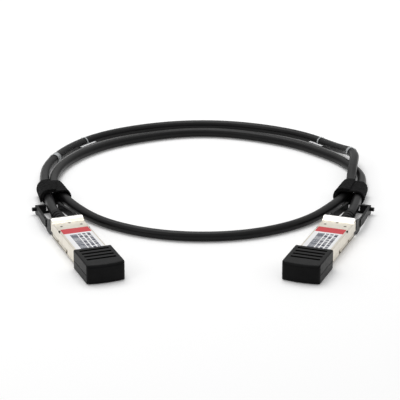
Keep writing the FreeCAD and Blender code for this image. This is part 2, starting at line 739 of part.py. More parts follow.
def dust_cap(name):
    """Rubber cap over the nose: ribbed on top, bulged at its front, with a line along each side."""
    body = new_body(f"{name}_body")
    plan = new_sketch(body, "XY_Plane")
    half = "(shell_width/2 + cap_gap + cap_side_wall)"
    height = "(nose_height + 2*cap_gap + cap_wall + cap_top_wall)"
    front = "-(cap_front + cap_gap)"
    rear = "(cap_length - cap_front - cap_gap)"
    across, along, reach = value(half), value(front), value(rear)
    corners = [Vector(-across, along, 0), Vector(-across, reach, 0),
               Vector(across, reach, 0), Vector(across, along, 0)]
    for begin, finish in zip(corners, corners[1:]):
        plan.addGeometry(Part.LineSegment(begin, finish), False)
    crown = Vector(0, value(f"{front} - cap_bulge"), 0)
    plan.addGeometry(Part.Arc(corners[0], crown, corners[3]), False)
    for line, following in ((0, 1), (1, 2)):
        plan.addConstraint(Sketcher.Constraint("Coincident", line, 2, following, 1))
    for line, place in ((0, (f"-{half}", front)), (1, (f"-{half}", rear)), (2, (half, rear))):
        fix(plan, "DistanceX", -1, 1, line, 1, to=place[0])
        fix(plan, "DistanceY", -1, 1, line, 1, to=place[1])
    fix(plan, "DistanceX", -1, 1, 2, 2, to=half)
    fix(plan, "DistanceY", -1, 1, 2, 2, to=front)
    plan.addConstraint(Sketcher.Constraint("Coincident", 3, 1, 0, 1))
    plan.addConstraint(Sketcher.Constraint("Coincident", 3, 2, 2, 2))
    fix(plan, "Radius", 3, to=f"({half}*{half} + cap_bulge*cap_bulge)/(2*cap_bulge)")
    solid = pad(body, plan, height)
    top = value(height)

    def front_rim(edge):
        box = edge.BoundBox
        return box.ZMin > top - 0.01 and box.YMax < along + 0.01 and not runs_along(edge, Y_AXIS)

    solid = rounded(body, solid, front_rim, "cap_front_round")
    rounded(body, solid, lambda edge: runs_along(edge, Y_AXIS), "cap_corner")
    hollow = block(f"{name}_hollow",
                   ("-(shell_width/2 + cap_gap)", "shell_width/2 + cap_gap"),
                   ("-cap_gap", "cap_length"), ("cap_wall", "cap_wall + nose_height + 2*cap_gap"))
    grooves = []
    for index in range(int(value("cap_groove_count"))):
        end = f"{rear} - cap_groove_first - {index}*cap_groove_pitch"
        grooves.append(block(f"{name}_groove", ("-cap_groove_length/2", "cap_groove_length/2"),
                             (f"{end} - cap_groove_width", end),
                             (f"{height} - cap_groove_depth", f"{height} + 1")))
    for side in (-1, 1):
        grooves.append(block(f"{name}_line", both_sides(side, f"{half} - cap_line_depth", f"{half} + 1"),
                             ("0", rear), ("cap_line_height", "cap_line_height + cap_line_width")))
    return cut(name, body, [hollow] + grooves)


def plug_label(name):
    """Thin film on the upper shell, from just behind the cap to in front of the collar."""
    body = new_body(name)
    film = new_sketch(body, "XY_Plane", TOP)
    rectangle(film, ("-label_width/2", "label_width/2"), ("label_front", "shell_length - label_setback"))
    pad(body, film, "label_thickness")
    return body


def wire_pairs(name):
    """Insulated pairs that fan out from the cable's end to the block."""
    rods = []
    start = value("board_setback + board_length - block_overlap + block_length")
    end = value("shell_length - cable_inset - pair_gap")
    middle = value("exit_height")
    bundle = value("pair_bundle")
    for row in (-1, 1):
        for place in (-1.5, -0.5, 0.5, 1.5):
            turn = math.radians(45 * place)
            height = value(f"{BASE} + nose_height/2 + {row}*pair_row_height")
            front = Vector(value("pair_spread") * place, start, height)
            back = Vector(bundle * math.sin(turn), end, middle + row * bundle * math.cos(turn))
            pair = doc.addObject("Part::Cylinder", f"{name}_pair")
            bind(pair, "Radius", "pair_radius")
            pair.Height = (back - front).Length
            pair.Placement = Placement(front, Rotation(Vector(0, 0, 1), back - front))
            rods.append(pair)
    return grouped(name, rods)


PLUG_PIECES = {
    "upper_shell": lambda name, side: upper_shell(name),
    "lower_shell": lambda name, side: lower_shell(name),
    "shell_screws": lambda name, side: shell_screws(name),
    "paddle_board": lambda name, side: paddle_board(name),
    "wire_block": lambda name, side: wire_block(name),
    "wire_pairs": lambda name, side: wire_pairs(name),
    "crimp_ferrule": lambda name, side: crimp_ferrule(name),
    "strain_relief": lambda name, side: strain_relief(name),
    "latch_slider": lambda name, side: latch_slider(name),
    "return_springs": lambda name, side: return_springs(name),
    "pull_tab": pull_tab,
    "dust_cap": lambda name, side: dust_cap(name),
    "label": lambda name, side: plug_label(name),
}


def set_down(piece, side):
    """Place a piece of one plug: side -1 is the left plug, side 1 the right one."""
    piece.Placement = Placement(Vector(), Rotation(Vector(0, 0, -side), 1))
    bind(piece, ".Placement.Base.x", f"{side}*plug_spread")
    bind(piece, ".Placement.Base.y", "-plug_back")
    bind(piece, ".Placement.Rotation.Angle", "plug_turn")


# The cable's route, from the left plug's crimp to the right one's

def plug_point(side, along, height):
    """A point on a plug's axis, in the row frame."""
    turn = math.radians(value("plug_turn"))
    x = value("plug_spread") + along * math.sin(turn)
    y = along * math.cos(turn) - value("plug_back")
    return Vector(side * x, y, height)


LEAD = value("shell_length - cable_inset")
IN_BOOT = value("shell_length + 13")
FIRST_BEND = value("shell_length + 27.5")
EXIT = value("exit_height")

# Points in the row frame. The cable leaves the left plug, passes outermost
# through the left tie and round the back, goes over its own other turn behind
# the right tie, comes round the front, and ends in the right plug.
ROUTE = [
    (-90.1, 62.0, 4.7), (-96.2, 98.0, 3.9), (-95.6, 128.0, 3.2),
    (-84.5, 157.5, 3.2), (-66.5, 180.5, 3.2), (-42.5, 196.5, 2.85), (-14.5, 205.4, 2.85),
    (14.5, 205.4, 2.85), (42.5, 196.5, 2.85), (66.5, 180.5, 3.2), (84.5, 157.5, 3.2),
    (94.2, 133.0, 8.85), (91.0, 110.0, 8.85), (88.4, 92.0, 4.9), (87.0, 76.0, 4.4),
    (76.0, 53.5, 3.9), (60.5, 32.0, 2.85), (39.0, 15.8, 2.85), (14.0, 7.2, 2.85),
    (-14.0, 7.2, 2.85), (-39.0, 15.8, 2.85), (-60.5, 32.0, 2.85), (-76.0, 53.5, 3.9),
    (-87.0, 78.0, 4.4), (-90.6, 99.0, 3.6), (-87.0, 124.0, 2.85), (-75.5, 147.5, 2.85),
    (-58.0, 166.5, 2.85), (-33.5, 180.5, 2.85), (-11.0, 188.0, 2.85), (11.0, 188.0, 2.85),
    (33.5, 180.5, 2.85), (58.0, 166.5, 2.85), (75.5, 147.5, 2.85), (87.0, 133.0, 2.85),
    (95.8, 110.0, 2.85), (95.2, 90.0, 4.0), (90.1, 62.0, 4.7),
]


class Route:
    """Straight runs joined by tangent arcs as large as the runs allow."""

    def __init__(self, points):
        self.points = points
        self.arcs = [self.corner(*triple) for triple in zip(points, points[1:], points[2:])]

    def corner(self, before, point, after):
        """Tangent points, middle and radius of the arc at one point."""
        back, ahead = before - point, after - point
        shorter = min(back.Length, ahead.Length)
        back.normalize()
        ahead.normalize()
        half_turn = (math.pi - back.getAngle(ahead)) / 2
        tangent = 0.45 * shorter
        radius = tangent / math.tan(half_turn)
        to_centre = (back + ahead).normalize()
        centre = point + to_centre * (radius / math.cos(half_turn))
        middle = centre - to_centre * radius
        return point + back * tangent, middle, point + ahead * tangent, radius

    def edges(self, first=0, last=None):
        """Edges from the middle of one run to the middle of a later one, or to the ends."""
        arcs = self.arcs[first:last]
        place = self.points[0] if first == 0 else (self.points[first] + self.points[first + 1]) / 2
        edges = []
        for start, middle, end, _ in arcs:
            edges.append(Part.LineSegment(place, start).toShape())
            edges.append(Part.Arc(start, middle, end).toShape())
            place = end
        stop = first + len(arcs)
        end = self.points[-1] if last is None else (self.points[stop] + self.points[stop + 1]) / 2
        edges.append(Part.LineSegment(place, end).toShape())
        return edges


def tube(edges, radius):
    """A round solid swept along edges that join end to end."""
    wire = Part.Wire(edges)
    direction = edges[0].Curve.Direction
    section = Part.Wire([Part.Circle(edges[0].Vertexes[0].Point, direction, radius).toShape()])
    return wire.makePipeShell([section], True, True), wire.Length


def cable_route():
    start = [plug_point(-1, along, EXIT) for along in (IN_BOOT, FIRST_BEND)]
    end = [plug_point(1, along, EXIT) for along in (FIRST_BEND, IN_BOOT)]
    return Route(start + [Vector(*point) for point in ROUTE] + end)


def cable(route):
    """The jacketed cable, one tube from crimp to crimp."""
    radius = value("cable_radius")
    edges = route.edges()
    first = Part.LineSegment(plug_point(-1, LEAD, EXIT), edges[0].Vertexes[-1].Point).toShape()
    last = Part.LineSegment(edges[-1].Vertexes[0].Point, plug_point(1, LEAD, EXIT)).toShape()
    solid, length = tube([first] + edges[1:-1] + [last], radius)
    expected = math.pi * radius ** 2 * length
    print("cable length", round(length, 1), "volume over section times length",
          round(solid.Volume / expected, 5))
    print("arc radii", [round(arc[3], 1) for arc in route.arcs])
    piece = doc.addObject("Part::Feature", "cable")
    piece.Shape = solid
    return piece


def clear_sleeve(name, route, side):
    """Film tube on the cable's outer turn, round one corner of its route."""
    middle = Vector(side * value("sleeve_spread"), value("sleeve_depth"), value("cable_radius"))
    first_half = route.points[:len(route.points) // 2]
    corner = min(range(1, len(first_half)), key=lambda index: (first_half[index] - middle).Length)
    edges = route.edges(corner - 1, corner)
    outer, _ = tube(edges, value("cable_radius + sleeve_wall"))
    inner, _ = tube(edges, value("cable_radius"))
    piece = doc.addObject("Part::Feature", name)
    piece.Shape = outer.cut(inner)
    return piece


def tie(name, side):
    """Strap closed round two strands that spread towards the plugs."""
    room = value("cable_radius + tie_room")
    strap, length = value("tie_strap"), value("tie_length")
    corner = value("tie_corner")

    def section(pitch, along, skin):
        half = pitch / 2 + room + skin
        low = strap - skin
        high = strap + 2 * room + skin
        wire = Part.makePolygon([
            Vector(-half, along, low), Vector(half, along, low),
            Vector(half, along, high), Vector(-half, along, high), Vector(-half, along, low),
        ])
        return rounded_wire(wire, corner + skin)

    front, rear = value("tie_front_pitch"), value("tie_rear_pitch")
    slope = (rear - front) / length
    outer = Part.makeLoft([section(front, -length / 2, strap), section(rear, length / 2, strap)], True)
    inner = Part.makeLoft([
        section(front - slope, -length / 2 - 1, 0), section(rear + slope, length / 2 + 1, 0),
    ], True)
    piece = doc.addObject("Part::Feature", name)
    piece.Shape = outer.cut(inner)
    turn = side * value("tie_turn")
    place = Vector(side * value("tie_spread"), value("tie_depth"), 0)
    piece.Placement = Placement(place, Rotation(Vector(0, 0, 1), -turn))
    return piece


def rounded_wire(wire, radius):
    """The closed polygon with each corner turned into an arc."""
    corners = [vertex.Point for vertex in wire.OrderedVertexes]
    edges, ends = [], []
    for index, point in enumerate(corners):
        back = (corners[index - 1] - point).normalize()
        ahead = (corners[(index + 1) % len(corners)] - point).normalize()
        centre = point + (back + ahead) * radius
        middle = centre - (back + ahead).normalize() * radius
        ends.append((point + back * radius, point + ahead * radius))
        edges.append(Part.Arc(ends[-1][0], middle, ends[-1][1]).toShape())
    for index, (_, leave) in enumerate(ends):
        edges.append(Part.LineSegment(leave, ends[(index + 1) % len(ends)][0]).toShape())
    return Part.Wire(Part.__sortEdges__(edges))


def build():
    """Make every piece and return them by node name."""
    nodes = {}
    for side_name, side in (("left", -1), ("right", 1)):
        for piece_name, make in PLUG_PIECES.items():
            node = f"{side_name}_{piece_name}"
            piece = make(node, side)
            set_down(piece, side)
            nodes[node] = piece
    route = cable_route()
    nodes["cable"] = cable(route)
    for side_name, side in (("left", -1), ("right", 1)):
        nodes[f"{side_name}_tie"] = tie(f"{side_name}_tie", side)
        sleeve = f"{side_name}_clear_sleeve"
        nodes[sleeve] = clear_sleeve(sleeve, route, side)
    doc.recompute()
    return nodes


def check(nodes):
    for item in doc.Objects:
        for state in ("Invalid", "Error"):
            if state in item.State:
                raise RuntimeError(f"{item.Label} is {state}")
    for node, piece in nodes.items():
        piece.Label = node
        if piece.Shape.isNull() or not piece.Shape.isValid():
            raise RuntimeError(f"{node} has no valid shape")


def write(nodes):
    os.makedirs("parts", exist_ok=True)
    for node, piece in nodes.items():
        piece.Shape.exportStep(f"parts/{node}.step")
        print(node, len(piece.Shape.Solids), round(piece.Shape.Volume, 2))


pieces = build()
check(pieces)
write(pieces)
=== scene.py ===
"""A direct attach copper cable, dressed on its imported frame.

Two metal plugs with rubber caps, pull tabs and labels are joined by one round
cable, which lies in a ring held by two hook-and-loop ties. Lengths are in
metres and angles in degrees.
"""

import logging
import math
from dataclasses import dataclass, field, replace
from enum import Enum
from typing import Any, Callable, Sequence

import bmesh
import bpy
from mathutils import Matrix, Vector

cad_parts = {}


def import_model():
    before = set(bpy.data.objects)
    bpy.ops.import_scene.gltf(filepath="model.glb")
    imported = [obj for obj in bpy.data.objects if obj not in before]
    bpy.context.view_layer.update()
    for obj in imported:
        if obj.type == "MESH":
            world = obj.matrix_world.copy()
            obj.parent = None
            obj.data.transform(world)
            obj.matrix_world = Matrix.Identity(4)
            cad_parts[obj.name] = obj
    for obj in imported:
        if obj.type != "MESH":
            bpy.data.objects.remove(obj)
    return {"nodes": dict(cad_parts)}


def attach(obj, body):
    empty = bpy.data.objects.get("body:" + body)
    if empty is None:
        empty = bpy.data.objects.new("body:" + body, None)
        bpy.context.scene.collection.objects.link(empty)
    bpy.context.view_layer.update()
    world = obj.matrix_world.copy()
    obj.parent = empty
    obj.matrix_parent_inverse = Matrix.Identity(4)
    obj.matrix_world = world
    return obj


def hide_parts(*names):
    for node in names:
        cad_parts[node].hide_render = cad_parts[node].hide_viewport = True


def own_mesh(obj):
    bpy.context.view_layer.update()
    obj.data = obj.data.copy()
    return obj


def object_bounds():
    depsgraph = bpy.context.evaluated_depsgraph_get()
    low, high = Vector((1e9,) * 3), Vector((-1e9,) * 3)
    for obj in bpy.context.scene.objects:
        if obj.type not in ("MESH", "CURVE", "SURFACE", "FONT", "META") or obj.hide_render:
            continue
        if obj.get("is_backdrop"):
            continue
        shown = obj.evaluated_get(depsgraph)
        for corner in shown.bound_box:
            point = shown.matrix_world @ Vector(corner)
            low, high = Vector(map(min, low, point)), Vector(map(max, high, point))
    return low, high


LOG = logging.getLogger("attach_cable")

Piece = bpy.types.Object
Socket = bpy.types.NodeSocket
Face = bmesh.types.BMFace
Edge = bmesh.types.BMEdge
Test = Callable[[Any], bool]
Colour = tuple[float, float, float]
Spot = tuple[float, float, float]
Span = tuple[float, float]

ROOT_BODY = "plugs_and_cable"

# A point this near to a face or a plane counts as on it
TOUCH = 0.00001
# A face looks along an axis where its normal has at least this share of it
FACING = 0.9
# Doubled points of a node's triangles lie closer than this
MERGE_DISTANCE = 0.000002
# Faces of a node that meet at less than this are one flat face
FLAT_ANGLE = 0.6
# Edges sharper than this are rounded
SHARP_ANGLE = 30
# Faces that meet at less than this are shaded as one surface
SHADED_ANGLE = 26
# How far a wide face's normal prevails over a narrow rounding's, from 1 to 100
NORMAL_WEIGHT = 90


class Side(Enum):
    """Which of the two plugs, ties and sleeves a piece belongs to."""

    LEFT = -1
    RIGHT = 1

    @property
    def word(self) -> str:
        """The side's word, as the nodes' names begin with it."""
        return self.name.lower()


class Handling(Enum):
    """How much a finish has been rubbed in use."""

    FRESH = 0.0
    LIGHT = 0.35


@dataclass(frozen=True)
class Rounding:
    """How a piece's edges are rounded.

    Edges shorter than the shortest stay as they are.
    """

    width: float
    shortest: float
    steps: int = 4


# Selecting, shaping and finishing meshes


def deselect_all() -> None:
    """Leave object mode with nothing selected."""
    if bpy.context.object and bpy.context.object.mode != "OBJECT":
        bpy.ops.object.mode_set(mode="OBJECT")
    for item in bpy.context.selected_objects:
        item.select_set(False)


def activate(piece: Piece) -> None:
    """Make a piece the only selected one.

    Args:
        piece: The object to select.
    """
    deselect_all()
    piece.select_set(True)
    bpy.context.view_layer.objects.active = piece


def finish_edit() -> None:
    """Go back to object mode."""
    bpy.ops.object.mode_set(mode="OBJECT")


def apply_place() -> None:
    """Put the active piece's place into its mesh, and its object at the origin."""
    bpy.ops.object.transform_apply(location=True, rotation=True, scale=True)


def named_primitive(name: str) -> Piece:
    """Take the primitive that was just added, name it and put its place into its mesh.

    Args:
        name: The piece's name.

    Returns:
        The primitive's object, at the origin.
    """
    piece = bpy.context.object
    piece.name = name
    piece.data.name = name
    apply_place()
    return piece


def add_block(name: str, low: Sequence[float], high: Sequence[float]) -> Piece:
    """Add a block between two opposite corners.

    Args:
        name: The piece's name.
        low: The corner with the smaller measures.
        high: The corner with the larger measures.

    Returns:
        The block's object.
    """
    deselect_all()
    bpy.ops.mesh.primitive_cube_add(
        size=1,
        location=[(start + end) / 2 for start, end in zip(low, high)],
        scale=[end - start for start, end in zip(low, high)],
    )
    return named_primitive(name)


def pick(piece: Piece, kind: str, test: Test) -> int:
    """Select the faces, edges or vertices of a piece that pass a test, in edit mode.

    Args:
        piece: The object to edit.
        kind: One of "FACE", "EDGE" and "VERT".
        test: Given a bmesh element, says whether it is wanted.

    Returns:
        How many elements were selected.
    """
    activate(piece)
    bpy.ops.object.mode_set(mode="EDIT")
    bpy.ops.mesh.select_all(action="DESELECT")
    bpy.ops.mesh.select_mode(type=kind)
    mesh = bmesh.from_edit_mesh(piece.data)
    elements = {"FACE": mesh.faces, "EDGE": mesh.edges, "VERT": mesh.verts}[kind]
    wanted = [element for element in elements if test(element)]
    for element in wanted:
        element.select_set(True)
    bmesh.update_edit_mesh(piece.data)
    return len(wanted)


def move_points(piece: Piece, test: Test, shift: Sequence[float]) -> None:
    """Move the points of a piece that pass a test.

    Args:
        piece: The object to edit.
        test: Given a vertex, says whether it is wanted.
        shift: How far the points move.
    """
    pick(piece, "VERT", test)
    bpy.ops.transform.translate(value=tuple(shift))
    finish_edit()


def cut_loop(piece: Piece, spot: Sequence[float], normal: Sequence[float]) -> None:
    """Cut an edge loop round a piece where a plane crosses it.

    Args:
        piece: The object to cut.
        spot: A point of the plane.
        normal: The plane's normal.
    """
    activate(piece)
    bpy.ops.object.mode_set(mode="EDIT")
    bpy.ops.mesh.select_all(action="SELECT")
    bpy.ops.mesh.bisect(plane_co=spot, plane_no=normal)
    finish_edit()


def extrude_faces(piece: Piece, test: Test, shift: Sequence[float]) -> None:
    """Extrude the faces of a piece that pass a test.

    Args:
        piece: The object to edit.
        test: Given a face, says whether it is wanted.
        shift: How far the faces move.
    """
    if pick(piece, "FACE", test):
        bpy.ops.mesh.extrude_region_move(TRANSFORM_OT_translate={"value": tuple(shift)})
    finish_edit()


def modify(piece: Piece, kind: str, **settings: Any) -> None:
    """Add a modifier with its settings and apply it.

    Args:
        piece: The object to change.
        kind: The modifier's type, such as "BEVEL".
        **settings: Properties of the modifier and their values.
    """
    activate(piece)
    modifier = piece.modifiers.new(kind.title(), kind)
    for key, setting in settings.items():
        setattr(modifier, key, setting)
    bpy.ops.object.modifier_apply(modifier=modifier.name)


def round_edges(piece: Piece, width: float, share: Callable[[Edge], float], steps: int) -> None:
    """Round a piece's sharp edges, each by its own share of a width.

    Args:
        piece: The object to round.
        width: The full rounding.
        share: Given an edge, says how much of the width it takes, from 0 to 1.
        steps: The rounding's steps.
    """
    mesh = bmesh.new()
    mesh.from_mesh(piece.data)
    weight = mesh.edges.layers.float.new("bevel_weight_edge")
    for edge in mesh.edges:
        if edge.calc_face_angle(0.0) > math.radians(SHARP_ANGLE):
            edge[weight] = share(edge)
    mesh.to_mesh(piece.data)
    mesh.free()
    modify(
        piece, "BEVEL", width=width, segments=steps, limit_method="WEIGHT", use_clamp_overlap=True
    )


def soften(piece: Piece, rounding: Rounding) -> None:
    """Round a piece's long sharp edges and leave its small features crisp.

    Args:
        piece: The object to soften.
        rounding: The rounding of its edges.
    """
    def share(edge: Edge) -> float:
        """Round long edges fully and leave the others."""
        return 1.0 if edge.calc_length() > rounding.shortest else 0.0

    round_edges(piece, rounding.width, share, rounding.steps)


def smooth(piece: Piece, angle: float) -> None:
    """Shade a piece smooth where its faces meet at less than an angle."""
    activate(piece)
    bpy.ops.object.shade_smooth_by_angle(angle=math.radians(angle))


def shade(piece: Piece) -> None:
    """Shade a piece as flat faces with smooth roundings between them."""
    smooth(piece, SHADED_ANGLE)
    modify(piece, "WEIGHTED_NORMAL", weight=NORMAL_WEIGHT, keep_sharp=True)


def settle(piece: Piece, place: Matrix) -> None:
    """Move a piece to its place in the row frame and leave its object at the origin.

    Args:
        piece: The object to move.
        place: The frame that the piece was modelled in.
    """
    piece.matrix_world = place @ piece.matrix_world
    activate(piece)
    apply_place()


def copy_of(node: Piece, name: str) -> Piece:
    """Copy a node's mesh into a new piece, with its triangles merged into faces.

    Args:
        node: The frame's object.
        name: The new piece's name.

    Returns:
        The new object, at the origin.
    """
    mesh = node.data.copy()
    mesh.name = name
    mesh.materials.clear()
    piece = bpy.data.objects.new(name, mesh)
    bpy.context.scene.collection.objects.link(piece)
    activate(piece)
    bpy.ops.mesh.customdata_custom_splitnormals_clear()
    bpy.ops.object.mode_set(mode="EDIT")
    bpy.ops.mesh.select_all(action="SELECT")
    bpy.ops.mesh.remove_doubles(threshold=MERGE_DISTANCE)
    bpy.ops.mesh.dissolve_limited(angle_limit=math.radians(FLAT_ANGLE))
    finish_edit()
    return piece


def twin(piece: Piece, name: str) -> Piece:
    """Copy a finished piece with a mesh of its own.

    Args:
        piece: The object to copy.
        name: The copy's name.

    Returns:
        The copy.
    """
    copy = piece.copy()
    copy.data = piece.data.copy()
    copy.name = name
    copy.data.name = name
    bpy.context.scene.collection.objects.link(copy)
    return copy


def dress(
    piece: Piece,
    material: bpy.types.Material,
    body: str,
    replaced: Sequence[str] = (),
) -> Piece:
    """Give a piece its material and the body that it rides on.

    Args:
        piece: The finished object.
        material: Its material.
        body: The body's name.
        replaced: Nodes that the piece stands for.

    Returns:
        The same object.
    """
    piece.data.materials.clear()
    piece.data.materials.append(material)
    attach(piece, body)
    if replaced:
        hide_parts(*replaced)
    LOG.info("%s rides on %s", piece.name, body)
    return piece


# Node groups and materials


class Tree:
    """A node tree that is built one node at a time."""

    def __init__(self, nodes_and_links: bpy.types.NodeTree) -> None:
        """Keep the tree that is to be filled."""
        self.tree = nodes_and_links

    def join(self, source: Socket, target: Socket) -> None:
        """Link one socket to another."""
        self.tree.links.new(source, target)

    def add(self, kind: str, inputs: dict | None = None, **settings: Any) -> bpy.types.Node:
        """Add a node, set it and feed its inputs.

        Args:
            kind: The node's type without its prefix, such as "TexNoise".
            inputs: Input name or index to a value, or to a socket that feeds it.
            **settings: Properties of the node.

        Returns:
            The new node.
        """
        node = self.tree.nodes.new(f"ShaderNode{kind}")
        for key, setting in settings.items():
            setattr(node, key, setting)
        for key, feed in (inputs or {}).items():
            if isinstance(feed, Socket):
                self.join(feed, node.inputs[key])
            else:
                node.inputs[key].default_value = feed
        return node

    def calculate(self, operation: str, *values: Any) -> Socket:
        """Add a Math node and return its value."""
        return self.add("Math", dict(enumerate(values)), operation=operation).outputs[0]

    def fold(self, operation: str, values: Sequence[Any]) -> Socket:
        """Join any number of values by one operation, two at a time.

        Args:
            operation: The Math node's operation.
            values: Numbers and sockets.

        Returns:
            The joined value.
        """
        result = values[0]
        for value in values[1:]:
            result = self.calculate(operation, result, value)
        return result

    def all_of(self, *masks: Socket) -> Socket:
        """Return the product of some masks: 1 where all of them are 1."""
        return self.fold("MULTIPLY", masks)

    def any_of(self, *masks: Socket) -> Socket:
        """Return the largest of some masks at each spot."""
        return self.fold("MAXIMUM", masks)

    def above(self, value: Any, limit: float) -> Socket:
        """Return 1 where a value is over a limit."""
        return self.calculate("GREATER_THAN", value, limit)

    def below(self, value: Any, limit: float) -> Socket:
        """Return 1 where a value is under a limit."""
        return self.calculate("LESS_THAN", value, limit)

    def between(self, value: Any, span: Span) -> Socket:
        """Return 1 where a value lies between two limits."""
        return self.all_of(self.above(value, span[0]), self.below(value, span[1]))

    def blend(self, share: Any, first: Any, second: Any) -> Socket:
        """Mix two colours, each one a colour or a socket that gives it.

        Args:
            share: How much of the second colour shows, from 0 to 1.
            first: The colour at 0.
            second: The colour at 1.

        Returns:
            The mixed colour.
        """
        start, end = (
            feed if isinstance(feed, Socket) else (*feed, 1.0) for feed in (first, second)
        )
        return self.add("Mix", {0: share, 6: start, 7: end}, data_type="RGBA").outputs[2]

    def remap(self, value: Any, low: float, high: float, to_low: float, to_high: float) -> Socket:
        """Map a value from one range to another, clamped to it.

        Args:
            value: The value to map.
            low: The first range's start.
            high: The first range's end.
            to_low: What the start becomes.
            to_high: What the end becomes.

        Returns:
            The mapped value.
        """
        limits = {"From Min": low, "From Max": high, "To Min": to_low, "To Max": to_high}
        return self.add("MapRange", {"Value": value, **limits}).outputs[0]

    def rising(self, value: Any, start: float, reach: float) -> Socket:
        """Return 0 up to a start, and 1 from a reach past it."""
        return self.remap(value, start, start + reach, 0.0, 1.0)


class Effect(Enum):
    """Surface effects that several finishes share, each one a node group."""

    GRAIN = "Fine grain"
    MOTTLE = "Colour mottle"
    SCUFF = "Handling scuffs"


@dataclass
class EffectLibrary:
    """Builds each shared node group once and hands it out."""

    pit_spacing: float = 0.33
    pit_radius: float = 0.22
    mottle_span: Span = (0.32, 0.68)
    scuff_stretch: Spot = (1.0, 0.35, 1.0)
    scuff_span: Span = (0.52, 0.74)
    scuff_edge: float = 0.7
    built: dict[Effect, bpy.types.NodeTree] = field(default_factory=dict)

    def group(self, effect: Effect) -> bpy.types.NodeTree:
        """Return an effect's group, built the first time that it is asked for.

        Args:
            effect: The effect to look up.

        Returns:
            The group's node tree.
        """
        if effect not in self.built:
            makers = {
                Effect.GRAIN: self._grain,
                Effect.MOTTLE: self._mottle,
                Effect.SCUFF: self._scuff,
            }
            self.built[effect] = makers[effect]()
        return self.built[effect]

    def place(self, tree: Tree, effect: Effect, inputs: dict) -> Socket:
        """Put an effect into a material's tree.

        Args:
            tree: The material's tree.
            effect: The effect to place.
            inputs: The group's inputs by name.

        Returns:
            The group's output.
        """
        return tree.add("Group", inputs, node_tree=self.group(effect)).outputs[0]

    @staticmethod
    def _start(effect: Effect, inputs: dict[str, str]) -> tuple[Tree, Any]:
        """Make a group with its input sockets.

        Args:
            effect: The effect that the group is for.
            inputs: Each input's name and kind.

        Returns:
            The group's tree and the sockets that bring its inputs in.
        """
        group = bpy.data.node_groups.new(effect.value, "ShaderNodeTree")
        for word, kind in inputs.items():
            group.interface.new_socket(name=word, in_out="INPUT", socket_type=f"NodeSocket{kind}")
        return Tree(group), group.nodes.new("NodeGroupInput").outputs

    @staticmethod
    def _end(tree: Tree, word: str, kind: str, result: Socket) -> bpy.types.NodeTree:
        """Give a group its output.

        Args:
            tree: The group's tree.
            word: The output's name.
            kind: The output's kind.
            result: The socket that feeds it.

        Returns:
            The finished group.
        """
        tree.tree.interface.new_socket(
            name=word, in_out="OUTPUT", socket_type=f"NodeSocket{kind}"
        )
        leave = tree.tree.nodes.new("NodeGroupOutput")
        tree.join(result, leave.inputs[word])
        return tree.tree

    def _grain(self) -> bpy.types.NodeTree:
        """Moulded or cast grain: a height made of fine noise and shallow pits.

        Returns:
            The group, which puts out a height.
        """
        tree, entry = self._start(
            Effect.GRAIN, {"Vector": "Vector", "Scale": "Float", "Pits": "Float"}
        )
        fine = tree.add(
            "TexNoise", {"Vector": entry["Vector"], "Scale": entry["Scale"], "Detail": 3.0}
        )
        wide = tree.calculate("MULTIPLY", entry["Scale"], self.pit_spacing)
        cells = tree.add("TexVoronoi", {"Vector": entry["Vector"], "Scale": wide})
        pit = tree.remap(cells.outputs["Distance"], 0.0, self.pit_radius, 1.0, 0.0)
        depth = tree.calculate("MULTIPLY", pit, entry["Pits"])
        height = tree.calculate("SUBTRACT", fine.outputs["Fac"], depth)
        return self._end(tree, "Height", "Float", height)

    def _mottle(self) -> bpy.types.NodeTree:
        """Two close colours that drift into each other.

        Returns:
            The group, which puts out a colour.
        """
        tree, entry = self._start(
            Effect.MOTTLE,
            {"Vector": "Vector", "Scale": "Float", "Light": "Color", "Dark": "Color"},
        )
        broad = tree.add(
            "TexNoise", {"Vector": entry["Vector"], "Scale": entry["Scale"], "Detail": 4.0}
        )
        share = tree.remap(broad.outputs["Fac"], *self.mottle_span, 0.0, 1.0)
        return self._end(tree, "Color", "Color", tree.blend(share, entry["Dark"], entry["Light"]))

    def _scuff(self) -> bpy.types.NodeTree:
        """A mask of short rubbed patches, for roughness.

        Returns:
            The group, which puts out a mask.
        """
        tree, entry = self._start(
            Effect.SCUFF, {"Vector": "Vector", "Scale": "Float", "Amount": "Float"}
        )
        stretched = tree.add("Mapping", {"Vector": entry["Vector"], "Scale": self.scuff_stretch})
        patches = tree.add("TexNoise", {
            "Vector": stretched.outputs[0], "Scale": entry["Scale"],
            "Detail": 6.0, "Roughness": self.scuff_edge,
        })
        rubbed = tree.remap(patches.outputs["Fac"], *self.scuff_span, 0.0, 1.0)
        mask = tree.calculate("MULTIPLY", rubbed, entry["Amount"])
        return self._end(tree, "Mask", "Float", mask)


EFFECTS = EffectLibrary()


